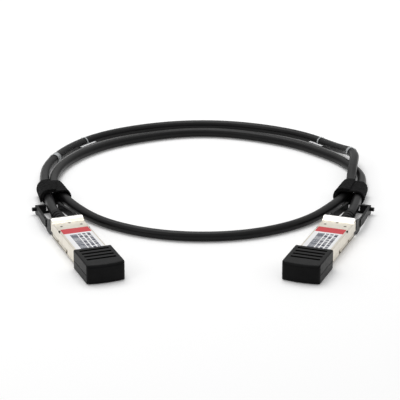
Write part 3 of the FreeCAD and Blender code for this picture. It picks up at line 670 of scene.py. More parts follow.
@dataclass(frozen=True)
class Finish:
    """A surface finish made of mottled colour, fine grain and scuffs.

    The scales say how many features of a pattern lie in a metre, and the scuffs'
    scale is a multiple of the patches'.
    """

    name: str
    light: Colour
    dark: Colour
    roughness: float
    metallic: float = 0.0
    patch_scale: float = 160.0
    grain_scale: float = 2400.0
    grain_depth: float = 0.00004
    grain_strength: float = 0.8
    pits: float = 0.3
    handling: Handling = Handling.LIGHT
    scuff_scale: float = 2.2
    scuff_roughness: float = 0.22
    specular: float = 0.5
    coat: float = 0.0
    sheen: float = 0.0
    alpha: float = 1.0

    def pattern(self, tree: Tree, spot: Socket) -> Socket:
        """Build the finish's colour.

        Args:
            tree: The material's tree.
            spot: The spot in the row frame.

        Returns:
            The colour at the spot.
        """
        return EFFECTS.place(tree, Effect.MOTTLE, {
            "Vector": spot, "Scale": self.patch_scale,
            "Light": (*self.light, 1), "Dark": (*self.dark, 1),
        })

    def height(self, tree: Tree, spot: Socket) -> Socket:
        """Build the finish's relief.

        Args:
            tree: The material's tree.
            spot: The spot in the row frame.

        Returns:
            The height at the spot.
        """
        return EFFECTS.place(
            tree, Effect.GRAIN, {"Vector": spot, "Scale": self.grain_scale, "Pits": self.pits}
        )

    def gloss(self, tree: Tree, spot: Socket) -> Socket:
        """Build the finish's roughness, raised where it has been handled.

        Args:
            tree: The material's tree.
            spot: The spot in the row frame.

        Returns:
            The roughness at the spot.
        """
        scuffs = EFFECTS.place(tree, Effect.SCUFF, {
            "Vector": spot, "Scale": self.patch_scale * self.scuff_scale,
            "Amount": self.handling.value,
        })
        rubbed = min(1.0, self.roughness + self.scuff_roughness)
        return tree.remap(scuffs, 0.0, 1.0, self.roughness, rubbed)

    def material(self) -> bpy.types.Material:
        """Build the material.

        Returns:
            A material that reads object coordinates.
        """
        material = bpy.data.materials.new(self.name)
        material.use_nodes = True
        tree = Tree(material.node_tree)
        inputs = material.node_tree.nodes["Principled BSDF"].inputs
        spot = tree.add("TexCoord").outputs["Object"]
        tree.join(self.pattern(tree, spot), inputs["Base Color"])
        tree.join(self.gloss(tree, spot), inputs["Roughness"])
        bump = tree.add("Bump", {
            "Height": self.height(tree, spot), "Distance": self.grain_depth,
            "Strength": self.grain_strength,
        })
        tree.join(bump.outputs[0], inputs["Normal"])
        inputs["Metallic"].default_value = self.metallic
        inputs["Specular IOR Level"].default_value = self.specular
        inputs["Coat Weight"].default_value = self.coat
        inputs["Sheen Weight"].default_value = self.sheen
        inputs["Alpha"].default_value = self.alpha
        return material


@dataclass(frozen=True)
class PlugFinish(Finish):
    """A finish that changes over the plug, and so reads the plug's own frame."""

    place: Matrix = field(default_factory=Matrix)

    def in_plug(self, tree: Tree, spot: Socket) -> Any:
        """Turn a spot into the plug's frame.

        Args:
            tree: The material's tree.
            spot: The spot in the row frame.

        Returns:
            Three sockets: across the plug, from nose to rear, and upwards.
        """
        to_plug = self.place.inverted()
        mapped = tree.add("Mapping", {
            "Vector": spot, "Location": to_plug.to_translation(), "Rotation": to_plug.to_euler(),
        })
        return tree.add("SeparateXYZ", {"Vector": mapped.outputs[0]}).outputs


@dataclass(frozen=True)
class CastNickel(PlugFinish):
    """Satin nickel casting: painted highlight on the collar top, painted shade in dimples and seam.
    """

    speck_scale: float = 420.0
    speck_colour: Colour = (0.30, 0.25, 0.19)
    speck_size: Span = (0.06, 0.15)
    speck_strength: float = 0.55
    speck_rarity: float = 0.89
    # Painted highlight: the collar's top is drawn lighter, as the lamps light it
    collar: Colour = (0.56, 0.55, 0.53)
    collar_start: float = 0.0676
    collar_fade: float = 0.0008
    collar_height: float = 0.0104
    collar_rise: float = 0.0004
    # Painted shade: the collar's slope below its top is drawn darker against the lamp's reflection
    ramp_shade: Colour = (0.40, 0.375, 0.32)
    ramp_shade_start: float = 0.0683
    ramp_shade_height: float = 0.0096
    # Painted shade in the dimples, the notches and the seam, where shadow falls
    recess_shade: Colour = (0.09, 0.075, 0.055)
    dimples: tuple[Span, ...] = ((-0.0058, 0.0624), (0.0, 0.0666), (0.0058, 0.0624))
    dimple_radius: float = 0.00088
    dimple_rim: Span = (0.7, 1.2)
    dimple_strength: float = 0.9
    notch_inside: float = 0.0084
    notch_ends: Span = (0.0544, 0.0570)
    notch_height: float = 0.0086
    seam_height: float = 0.00175
    seam_width: float = 0.00026
    seam_rim: Span = (0.4, 0.6)
    seam_strength: float = 0.75

    def pattern(self, tree: Tree, spot: Socket) -> Socket:
        """Build the plating's colour, with its painted highlight and painted shade.

        Args:
            tree: The material's tree.
            spot: The spot in the row frame.

        Returns:
            The colour at the spot.
        """
        across, along, up = self.in_plug(tree, spot)
        # Painted shade on the collar's slope
        low = tree.all_of(tree.above(along, self.ramp_shade_start), tree.above(up, self.ramp_shade_height))
        plated = tree.blend(low, self.specked(tree, spot), self.ramp_shade)
        # Painted highlight on the collar's top
        collar_highlight_share = tree.all_of(
            tree.rising(along, self.collar_start, self.collar_fade),
            tree.rising(up, self.collar_height, self.collar_rise),
        )
        plated = tree.blend(collar_highlight_share, plated, self.collar)
        # Painted shade in the seam, the dimples and the notches
        dark = tree.any_of(
            self.seam(tree, up),
            *(self.dimple(tree, across, along, centre) for centre in self.dimples),
            self.notches(tree, across, along, up),
        )
        return tree.blend(dark, plated, self.recess_shade)

    def specked(self, tree: Tree, spot: Socket) -> Socket:
        """Build the mottled plating with its sparse specks.

        Args:
            tree: The material's tree.
            spot: The spot in the row frame.

        Returns:
            The colour at the spot.
        """
        cells = tree.add("TexVoronoi", {"Vector": spot, "Scale": self.speck_scale}).outputs
        near = tree.remap(cells["Distance"], *self.speck_size, self.speck_strength, 0.0)
        chance = tree.add("SeparateColor", {"Color": cells["Color"]}).outputs[0]
        share = tree.all_of(near, tree.above(chance, self.speck_rarity))
        return tree.blend(share, super().pattern(tree, spot), self.speck_colour)

    def notches(self, tree: Tree, across: Socket, along: Socket, up: Socket) -> Socket:
        """Build the mask of painted shade in the small notches in the top's edges.

        Args:
            tree: The material's tree.
            across: Place across the plug.
            along: Place along the plug.
            up: Height.

        Returns:
            1 in the notches and 0 outside them.
        """
        outside = tree.above(tree.calculate("ABSOLUTE", across), self.notch_inside)
        return tree.all_of(
            outside, tree.above(up, self.notch_height), tree.between(along, self.notch_ends)
        )

    def dimple(self, tree: Tree, across: Socket, along: Socket, centre: Span) -> Socket:
        """Build the mask of painted shade in one dimple of the top, seen from above.

        Args:
            tree: The material's tree.
            across: Place across the plug.
            along: Place along the plug.
            centre: The dimple's middle, across and along the plug.

        Returns:
            The share of painted shade at the spot.
        """
        squares = []
        for value, middle in zip((across, along), centre):
            away = tree.calculate("SUBTRACT", value, middle)
            squares.append(tree.calculate("MULTIPLY", away, away))
        away = tree.calculate("SQRT", tree.calculate("ADD", *squares))
        inner, outer = (self.dimple_radius * part for part in self.dimple_rim)
        return tree.remap(away, inner, outer, self.dimple_strength, 0.0)

    def seam(self, tree: Tree, up: Socket) -> Socket:
        """Build the mask of the painted shade line in the gap along the lower shell.

        Args:
            tree: The material's tree.
            up: Height.

        Returns:
            The share of painted shade at the spot.
        """
        away = tree.calculate("ABSOLUTE", tree.calculate("SUBTRACT", up, self.seam_height))
        inner, outer = (self.seam_width * part for part in self.seam_rim)
        return tree.remap(away, inner, outer, self.seam_strength, 0.0)


@dataclass(frozen=True)
class LatchSheet(PlugFinish):
    """Bent sheet: plated arms and web, grey plates, and painted shade next to the shells."""

    plated: Colour = (0.66, 0.62, 0.54)
    plated_end: float = 0.0690
    plated_fade: float = 0.0006
    web_half: float = 0.0076
    # Painted shade where the plates meet the shells
    neck_shade: Colour = (0.010, 0.010, 0.011)
    neck_shade_end: float = 0.0752
    neck_shade_fade: float = 0.0010
    # Painted shade on the arms below the edge height, low in their channel
    edge: Colour = (0.09, 0.075, 0.055)
    edge_height: float = 0.00200
    # Painted shadow in the gap between the plates and the shells
    gap: Span = (0.0090, 0.0097)

    def pattern(self, tree: Tree, spot: Socket) -> Socket:
        """Build the sheet's colour, which turns dark behind the plug, with painted shade at the
        shells.

        Args:
            tree: The material's tree.
            spot: The spot in the row frame.

        Returns:
            The colour at the spot.
        """
        across, along, up = self.in_plug(tree, spot)
        # Painted shade low on the arms
        arm = tree.blend(tree.below(up, self.edge_height), self.plated, self.edge)
        # Painted shade where the plates meet the shells
        clear = tree.rising(along, self.neck_shade_end, self.neck_shade_fade)
        plate = tree.blend(clear, self.neck_shade, super().pattern(tree, spot))
        behind = tree.rising(along, self.plated_end, self.plated_fade)
        sheet = tree.blend(behind, arm, plate)
        # Painted shadow in the gap next to the shells
        away = tree.calculate("ABSOLUTE", across)
        gap_shade_share = tree.all_of(tree.between(away, self.gap), behind)
        sheet = tree.blend(gap_shade_share, sheet, self.neck_shade)
        return tree.blend(tree.below(away, self.web_half), sheet, self.plated)


@dataclass(frozen=True)
class LoopFabric(Finish):
    """Black hook-and-loop fabric: a pile of small loops that catches little light."""

    loop_scale: float = 900.0
    tangle_scale: float = 1530.0

    def height(self, tree: Tree, spot: Socket) -> Socket:
        """Build the relief of the loops.

        Args:
            tree: The material's tree.
            spot: The spot in the row frame.

        Returns:
            The height at the spot.
        """
        loops = tree.add(
            "TexVoronoi", {"Vector": spot, "Scale": self.loop_scale}, feature="SMOOTH_F1"
        )
        tangle = tree.add(
            "TexNoise", {"Vector": spot, "Scale": self.tangle_scale, "Detail": 4.0}
        )
        return tree.calculate("ADD", loops.outputs["Distance"], tangle.outputs["Fac"])


@dataclass(frozen=True)
class RingedRubber(PlugFinish):
    """Boot rubber with painted shade in its moulded grooves, drawn darker than the ribs."""

    # Painted shade in the grooves
    groove: Colour = (0.0015, 0.0015, 0.0016)
    ends: Span = (0.0785, 0.0905)
    pitch: float = 0.0033
    width: float = 0.0011

    def pattern(self, tree: Tree, spot: Socket) -> Socket:
        """Build the rubber's colour, with painted shade in the grooves.

        Args:
            tree: The material's tree.
            spot: The spot in the row frame.

        Returns:
            The colour at the spot.
        """
        along = self.in_plug(tree, spot)[1]
        # Painted shade in the grooves along the boot
        past = tree.calculate("SUBTRACT", along, self.ends[0])
        steps = tree.calculate("DIVIDE", past, self.pitch)
        within = tree.below(tree.calculate("FRACT", steps), self.width / self.pitch)
        share = tree.all_of(within, tree.between(along, self.ends))
        return tree.blend(share, super().pattern(tree, spot), self.groove)


@dataclass(frozen=True)
class InkRows:
    """A column of uneven rows of ink, made by noise along the plug.

    The limit says how much of the noise stays bare, and the seed picks its rows.
    """

    column: Span
    scale: float
    limit: float
    seed: float

    def mask(self, tree: Tree, across: Socket, along: Socket) -> Socket:
        """Build the column's mask.

        Args:
            tree: The material's tree.
            across: Place across the plug.
            along: Place along the plug.

        Returns:
            1 where there is ink.
        """
        row = tree.add("CombineXYZ", {0: along, 1: self.seed}).outputs[0]
        noise = tree.add("TexNoise", {"Vector": row, "Scale": self.scale, "Detail": 1.0})
        rows = tree.above(noise.outputs["Fac"], self.limit)
        return tree.all_of(tree.between(across, self.column), rows)


@dataclass(frozen=True)
class PrintedLabel(PlugFinish):
    """White film with a red band and a bar column beside columns of short dashes."""

    band: Colour = (0.56, 0.018, 0.028)
    band_start: float = 0.0502
    printed_part: Span = (0.0250, 0.0485)
    bar_ink: Colour = (0.10, 0.11, 0.14)
    bars: InkRows = InkRows((-0.0053, -0.0014), 1500.0, 0.44, 5.0)
    ink: Colour = (0.035, 0.038, 0.065)
    dashes: tuple[InkRows, ...] = (
        InkRows((-0.0008, 0.0010), 850.0, 0.47, 11.0),
        InkRows((0.0018, 0.0036), 850.0, 0.47, 23.0),
        InkRows((0.0044, 0.0062), 850.0, 0.47, 37.0),
    )

    def pattern(self, tree: Tree, spot: Socket) -> Socket:
        """Build the printed film's colour.

        Args:
            tree: The material's tree.
            spot: The spot in the row frame.

        Returns:
            The colour at the spot.
        """
        across, along, _ = self.in_plug(tree, spot)
        inside = tree.between(along, self.printed_part)
        barred = tree.all_of(self.bars.mask(tree, across, along), inside)
        printed = tree.blend(barred, super().pattern(tree, spot), self.bar_ink)
        dashed = tree.any_of(*(rows.mask(tree, across, along) for rows in self.dashes))
        printed = tree.blend(tree.all_of(dashed, inside), printed, self.ink)
        return tree.blend(tree.above(along, self.band_start), printed, self.band)


@dataclass
class Palette:
    """The finishes of the cable's pieces, each one built once."""

    made: dict[str, bpy.types.Material] = field(default_factory=dict)

    def material(self, finish: Finish) -> bpy.types.Material:
        """Return a finish's material, built the first time.

        Args:
            finish: The finish that is wanted.

        Returns:
            Its material.
        """
        if finish.name not in self.made:
            self.made[finish.name] = finish.material()
        return self.made[finish.name]


NICKEL = CastNickel(
    "Satin nickel casting", (0.82, 0.773, 0.68), (0.73, 0.683, 0.59), 0.30, metallic=0.95,
    patch_scale=220.0, grain_scale=1500.0, grain_depth=0.00005, pits=0.5,
)
LATCH_SHEET = LatchSheet(
    "Bent latch sheet", (0.110, 0.110, 0.112), (0.070, 0.070, 0.072), 0.40, metallic=0.9,
    pits=0.1,
)
SPRING_STEEL = Finish(
    "Spring steel", (0.60, 0.60, 0.61), (0.50, 0.50, 0.52), 0.30, metallic=1.0,
)
SCREW_STEEL = Finish(
    "Screw steel", (0.55, 0.55, 0.55), (0.45, 0.45, 0.46), 0.35, metallic=1.0,
)
CAP_RUBBER = Finish(
    "Moulded cap rubber", (0.0030, 0.0030, 0.0032), (0.0012, 0.0012, 0.0013), 0.38,
    grain_scale=1800.0, grain_depth=0.00006, specular=0.096,
)
JACKET = Finish(
    "Cable jacket", (0.0055, 0.0055, 0.0057), (0.0028, 0.0028, 0.0030), 0.33, patch_scale=90.0,
    grain_scale=1600.0, grain_depth=0.00003, specular=0.18,
)
BOOT_RUBBER = RingedRubber(
    "Boot rubber", (0.0075, 0.0075, 0.008), (0.0045, 0.0045, 0.005), 0.46, specular=0.10,
)
TAB_PLASTIC = Finish(
    "Pull tab plastic", (0.0045, 0.0045, 0.0048), (0.0025, 0.0025, 0.0027), 0.42,
    specular=0.11,
)
LABEL_FILM = PrintedLabel(
    "Printed label", (0.88, 0.88, 0.89), (0.84, 0.84, 0.85), 0.45, specular=0.45,
    handling=Handling.FRESH,
)
BOARD_MASK = Finish(
    "Board solder mask", (0.02, 0.20, 0.08), (0.015, 0.15, 0.06), 0.28, coat=0.4,
)
IVORY = Finish("Ivory moulding", (0.80, 0.77, 0.68), (0.72, 0.69, 0.60), 0.5)
INSULATION = Finish("Pair insulation", (0.72, 0.73, 0.76), (0.64, 0.65, 0.69), 0.4)
BRASS = Finish("Crimped brass", (0.76, 0.60, 0.31), (0.64, 0.48, 0.24), 0.3, metallic=1.0)
TIE_FABRIC = LoopFabric(
    "Loop fabric", (0.0110, 0.0110, 0.0113), (0.0038, 0.0038, 0.0040), 0.95,
    grain_depth=0.0006, specular=0.05, sheen=0.03, patch_scale=600.0,
)
FILM = Finish(
    "Clear film", (0.20, 0.21, 0.21), (0.14, 0.15, 0.15), 0.20, alpha=0.03, specular=0.3,
    handling=Handling.FRESH, grain_depth=0.0, patch_scale=500.0,
)
# Painted highlight: a white strip that stands in for the lit floor and glint seen along the outer
# strand
GLINT_STRIP = Finish(
    "Sealed film fin", (0.97, 0.97, 0.97), (0.86, 0.87, 0.88), 0.22, patch_scale=700.0,
)
FILM_EDGE = Finish(
    "Clear film edge", (0.62, 0.64, 0.65), (0.34, 0.36, 0.37), 0.25, alpha=0.78,
    patch_scale=500.0,
)


# The sub-assemblies


@dataclass
class Plug:
    """One plug without its cap: shells, latch slider, pull tab, boot, label and inside."""

    side: Side
    nodes: dict[str, Piece]
    palette: Palette
    spread: float = 0.052
    setback: float = 0.05119
    turn: float = 20.3
    upper_rounding: Rounding = Rounding(0.00025, 0.0024)
    lower_rounding: Rounding = Rounding(0.00012, 0.0024)
    sheet_rounding: Rounding = Rounding(0.00010, 0.0011)
    tab_rounding: Rounding = Rounding(0.00032, 0.0008)
    spring_stop: float = 0.0525
    spring_length: float = 0.0070
    spring_press: float = 0.0026

    @property
    def place(self) -> Matrix:
        """The plug's own frame in the row frame."""
        spot = Matrix.Translation((self.side.value * self.spread, -self.setback, 0.0))
        return spot @ Matrix.Rotation(math.radians(-self.side.value * self.turn), 4, "Z")

    @property
    def slider_body(self) -> str:
        """The body of this plug's latch slider and pull tab."""
        return f"{self.side.word}_slider"

    def node(self, piece: str) -> str:
        """The name of one of this plug's nodes."""
        return f"{self.side.word}_{piece}"

    def own(self, finish: PlugFinish) -> PlugFinish:
        """A finish that reads this plug's own frame."""
        return replace(finish, name=f"{finish.name} {self.side.word}", place=self.place)

    def build(self) -> None:
        """Dress every piece of the plug."""
        self.shells()
        self.slider()
        self.pull_tab()
        self.boot()
        self.label()
        self.inside()
        self.springs()

    def finished(
        self, piece: str, finish: Finish, body: str, rounding: Rounding | None = None
    ) -> Piece:
        """Replace a node by a finished copy.

        Args:
            piece: The node's name without its side.
            finish: The finish to dress it in.
            body: The body that it rides on.
            rounding: The rounding of its edges, or None to leave them as they are.

        Returns:
            The new piece.
        """
        node = self.node(piece)
        copy = copy_of(self.nodes[node], f"{node}_finished")
        if rounding:
            soften(copy, rounding)
        shade(copy)
        return dress(copy, self.palette.material(finish), body, [node])

    def shells(self) -> None:
        """Upper and lower shell, with lightly rounded casting edges."""
        finish = self.own(NICKEL)
        self.finished("upper_shell", finish, ROOT_BODY, self.upper_rounding)
        self.finished("lower_shell", finish, ROOT_BODY, self.lower_rounding)

    def slider(self) -> None:
        """The bent sheet of the latch."""
        finish = self.own(LATCH_SHEET)
        self.finished("latch_slider", finish, self.slider_body, self.sheet_rounding)

    def pull_tab(self) -> None:
        """The moulded pull tab."""
        self.finished("pull_tab", TAB_PLASTIC, self.slider_body, self.tab_rounding)

    def boot(self) -> None:
        """The ringed strain relief."""
        self.finished("strain_relief", self.own(BOOT_RUBBER), ROOT_BODY)

    def label(self) -> None:
        """The printed film on the upper shell."""
        self.coat("label", self.own(LABEL_FILM))

    def inside(self) -> None:
        """The pieces between the shells."""
        for piece, finish in (
            ("paddle_board", BOARD_MASK), ("wire_block", IVORY), ("wire_pairs", INSULATION),
            ("crimp_ferrule", BRASS), ("shell_screws", SCREW_STEEL),
        ):
            self.coat(piece, finish)

    def springs(self) -> None:
        """The return springs, given a mesh of their own."""
        pair = self.finished("return_springs", SPRING_STEEL, ROOT_BODY)
        along = self.place.to_3x3() @ Vector((0.0, 1.0, 0.0))
        stop = self.place @ Vector((0.0, self.spring_stop, 0.0))
        f"{self.side.word}_pull"
        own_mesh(pair)

    def coat(self, piece: str, finish: Finish) -> None:
        """Give a node that keeps its own mesh a better material.

        Args:
            piece: The node's name without its side.
            finish: The finish to coat it with.
        """
        node = self.nodes[self.node(piece)]
        node.data.materials.clear()
        node.data.materials.append(self.palette.material(finish))
        LOG.info("%s keeps its mesh", node.name)


@dataclass
class DustCap:
    """The rubber cap on a plug's nose: bulged at its front, with ribs between grooves on top."""

    palette: Palette
    half_width: float = 0.010735
    height: float = 0.01121
    front: float = -0.00116
    rear: float = 0.02304
    bulge: float = 0.0013
    columns: int = 12
    hollow_half: float = 0.009235
    hollow_front: float = -0.00006
    hollow_low: float = 0.00099
    hollow_high: float = 0.00961
    rim_round: float = 0.0022
    rim_steps: int = 6
    front_share: float = 0.7
    side_share: float = 0.35
    groove_centres: tuple[float, ...] = (0.0197, 0.0154, 0.0112, 0.0069)
    groove_width: float = 0.0019
    groove_half: float = 0.0083
    groove_depth: float = 0.0007
    line_low: float = 0.0049
    line_high: float = 0.0053
    line_depth: float = 0.00025

    def build(self, plugs: Sequence[Plug]) -> None:
        """Model the cap once and put a copy on each plug.

        Args:
            plugs: The plugs that wear a cap.
        """
        cap = self.outside()
        round_edges(cap, self.rim_round, self.edge_share, self.rim_steps)
        self.cut_grooves(cap)
        self.cut_side_lines(cap)
        self.open_rear(cap)
        shade(cap)
        for plug in plugs:
            piece = twin(cap, f"{plug.node('dust_cap')}_finished")
            settle(piece, plug.place)
            body = f"{plug.side.word}_cap"
            dress(piece, self.palette.material(CAP_RUBBER), body, [plug.node("dust_cap")])
        bpy.data.objects.remove(cap)

    def outside(self) -> Piece:
        """Make the cap's block, its front pushed out in a flat arc.

        Returns:
            The closed block.
        """
        cap = add_block(
            "dust_cap_pattern", (-self.half_width, self.front, 0),
            (self.half_width, self.rear, self.height),
        )
        shares = [2 * index / self.columns - 1 for index in range(1, self.columns)]
        for share in shares:
            cut_loop(cap, (self.half_width * share, 0, 0), (1, 0, 0))
        for share in shares:
            x = self.half_width * share
            reach = self.bulge * (1 - (x / self.half_width) ** 2)

            def on_front(vertex: bmesh.types.BMVert) -> bool:
                """Tell whether a point lies in this column of the front."""
                return abs(vertex.co.x - x) < TOUCH and vertex.co.y < self.front + TOUCH

            move_points(cap, on_front, (0, -reach, 0))
        return cap

    def cut_grooves(self, cap: Piece) -> None:
        """Sink the grooves of the top.

        Args:
            cap: The cap to cut.
        """
        for way in (-1, 1):
            cut_loop(cap, (way * self.groove_half, 0, 0), (1, 0, 0))
        for centre in self.groove_centres:
            for way in (-1, 1):
                cut_loop(cap, (0, centre + way * self.groove_width / 2, 0), (0, 1, 0))

        def in_groove(face: Face) -> bool:
            """Tell whether a face of the top lies in a groove.

            Args:
                face: A face of the cap.

            Returns:
                True where it is to be sunk.
            """
            spot = face.calc_center_median()
            gaps = [abs(spot.y - centre) for centre in self.groove_centres]
            level = face.normal.z > FACING and abs(spot.x) < self.groove_half
            return level and min(gaps) < self.groove_width / 2

        extrude_faces(cap, in_groove, (0, 0, -self.groove_depth))

    def cut_side_lines(self, cap: Piece) -> None:
        """Sink the moulded line along each side.

        Args:
            cap: The cap to cut.
        """
        for height in (self.line_low, self.line_high):
            cut_loop(cap, (0, 0, height), (0, 0, 1))
        cut_loop(cap, (0, 0, 0), (0, 1, 0))
        for way in (-1, 1):

            def in_line(face: Face) -> bool:
                """Tell whether a face of this side lies in the line.

                Args:
                    face: A face of the cap.

                Returns:
                    True where it is to be sunk.
                """
                spot = face.calc_center_median()
                level = face.normal.x * way > FACING and self.line_low < spot.z < self.line_high
                return level and spot.y > 0

            extrude_faces(cap, in_line, (-way * self.line_depth, 0, 0))

    def edge_share(self, edge: Edge) -> float:
        """Round the front's top rim most, its other edges less and the rear not at all.

        Args:
            edge: A sharp edge of the block.

        Returns:
            Its share of the rim's rounding.
        """
        spots = [vertex.co for vertex in edge.verts]
        if all(spot.y < self.front + TOUCH for spot in spots):
            on_top = all(spot.z > self.height - TOUCH for spot in spots)
            return 1.0 if on_top else self.front_share
        at_rear = all(spot.y > self.rear - TOUCH for spot in spots)
        return 0.0 if at_rear else self.side_share

    def open_rear(self, cap: Piece) -> None:
        """Hollow the cap from behind: an inner box whose rim meets the outer one.

        Args:
            cap: The cap to open.
        """
        def at_rear(face: Face) -> bool:
            """Tell whether a face closes the rear."""
            spot = face.calc_center_median()
            return face.normal.y > FACING and spot.y > self.rear - TOUCH

        pick(cap, "FACE", at_rear)
        bpy.ops.mesh.delete(type="FACE")
        finish_edit()
        inside = add_block(
            "dust_cap_inside", (-self.hollow_half, self.hollow_front, self.hollow_low),
            (self.hollow_half, self.rear, self.hollow_high),
        )
        pick(inside, "FACE", at_rear)
        bpy.ops.mesh.delete(type="FACE")
        bpy.ops.mesh.select_all(action="SELECT")
        bpy.ops.mesh.flip_normals()
        finish_edit()
        activate(cap)
        inside.select_set(True)
        bpy.ops.object.join()
        pick(cap, "EDGE", lambda edge: edge.is_boundary)
        bpy.ops.mesh.bridge_edge_loops()
        bpy.ops.mesh.select_all(action="SELECT")
        bpy.ops.mesh.normals_make_consistent(inside=False)
        finish_edit()


@dataclass
class Cable:
    """The jacketed cable, on one smooth line from boot to boot.

    Its route leaves the left plug, passes outermost through the left tie and round
    the back, crosses over its other turn behind the right tie, comes round the
    front and ends in the right plug.
    """

    palette: Palette
    radius: float = 0.00285
    length: float = 1.03
    boot_face: Spot = (0.0, 0.0721, 0.005)
    line_steps: int = 14
    round_steps: int = 7
    route: tuple[Spot, ...] = (
        (-0.081525, 0.028624, 0.0050), (-0.086555, 0.042224, 0.0050),
        (-0.0901, 0.0620, 0.0047), (-0.0962, 0.0980, 0.0039), (-0.0956, 0.1280, 0.0032),
        (-0.0845, 0.1575, 0.0032), (-0.0665, 0.1805, 0.0032), (-0.0425, 0.1965, 0.00285),
        (-0.0145, 0.2054, 0.00285), (0.0145, 0.2054, 0.00285), (0.0425, 0.1965, 0.00285),
        (0.0665, 0.1805, 0.0032), (0.0845, 0.1575, 0.0032), (0.0942, 0.1330, 0.00885),
        (0.0910, 0.1100, 0.00885), (0.0884, 0.0920, 0.0049), (0.0870, 0.0760, 0.0044),
        (0.0760, 0.0535, 0.0039), (0.0605, 0.0320, 0.00285), (0.0390, 0.0158, 0.00285),
        (0.0140, 0.0072, 0.00285), (-0.0140, 0.0072, 0.00285), (-0.0390, 0.0158, 0.00285),
        (-0.0605, 0.0320, 0.00285), (-0.0760, 0.0535, 0.0039), (-0.0870, 0.0780, 0.0044),
        (-0.0906, 0.0990, 0.0036), (-0.0873, 0.1242, 0.0031), (-0.0758, 0.1479, 0.0031),
        (-0.0583, 0.1671, 0.0031), (-0.0337, 0.1812, 0.0031), (-0.0110, 0.1887, 0.0031),
        (0.0110, 0.1887, 0.0031), (0.0337, 0.1812, 0.0031), (0.0583, 0.1671, 0.0031),
        (0.0758, 0.1479, 0.0031), (0.0870, 0.1330, 0.00295), (0.0958, 0.1100, 0.00285),
        (0.0952, 0.0900, 0.0040), (0.0901, 0.0620, 0.0047),
        (0.086555, 0.042224, 0.0050), (0.081525, 0.028624, 0.0050),
    )

    def spline(self, name: str, points: Sequence[Sequence[float]], kind: str = "NURBS") -> Piece:
        """Make a curve of one open spline.

        Args:
            name: The curve's name.
            points: Its points.
            kind: "NURBS" for a smooth line, "POLY" for one through every point.

        Returns:
            The curve's object, with no thickness yet.
        """
        curve = bpy.data.curves.new(name, "CURVE")
        curve.dimensions = "3D"
        curve.resolution_u = self.line_steps
        line = curve.splines.new(kind)
        line.points.add(len(points) - 1)
        for point, spot in zip(line.points, points):
            point.co = (*spot, 1.0)
        if kind == "NURBS":
            line.order_u = 3
            line.use_endpoint_u = True
        piece = bpy.data.objects.new(name, curve)
        bpy.context.scene.collection.objects.link(piece)
        return piece

    def line(self) -> list[Vector]:
        """Read the smooth line's own points from the spline before it has thickness.

        Returns:
            Points from the left boot to the right one.
        """
        thin = self.spline("line_only", self.route)
        bpy.context.view_layer.update()
        mesh = bpy.data.meshes.new_from_object(thin)
        points = [vertex.co.copy() for vertex in mesh.vertices]
        bpy.data.objects.remove(thin)
        bpy.data.meshes.remove(mesh)
        return points

    def build(self) -> Piece:
        """Make the cable and dress it.

        Returns:
            The cable's curve.
        """
        piece = self.spline("cable_jacket", self.route)
        piece.data.bevel_depth = self.radius
        piece.data.bevel_resolution = self.round_steps
        piece.data.use_fill_caps = True
        return dress(piece, self.palette.material(JACKET), ROOT_BODY, ["cable"])

    def declare(self, start: Plug) -> None:
        """Args:
            start: The plug that it leaves.
        """
        leaves = start.place @ Vector(self.boot_face)


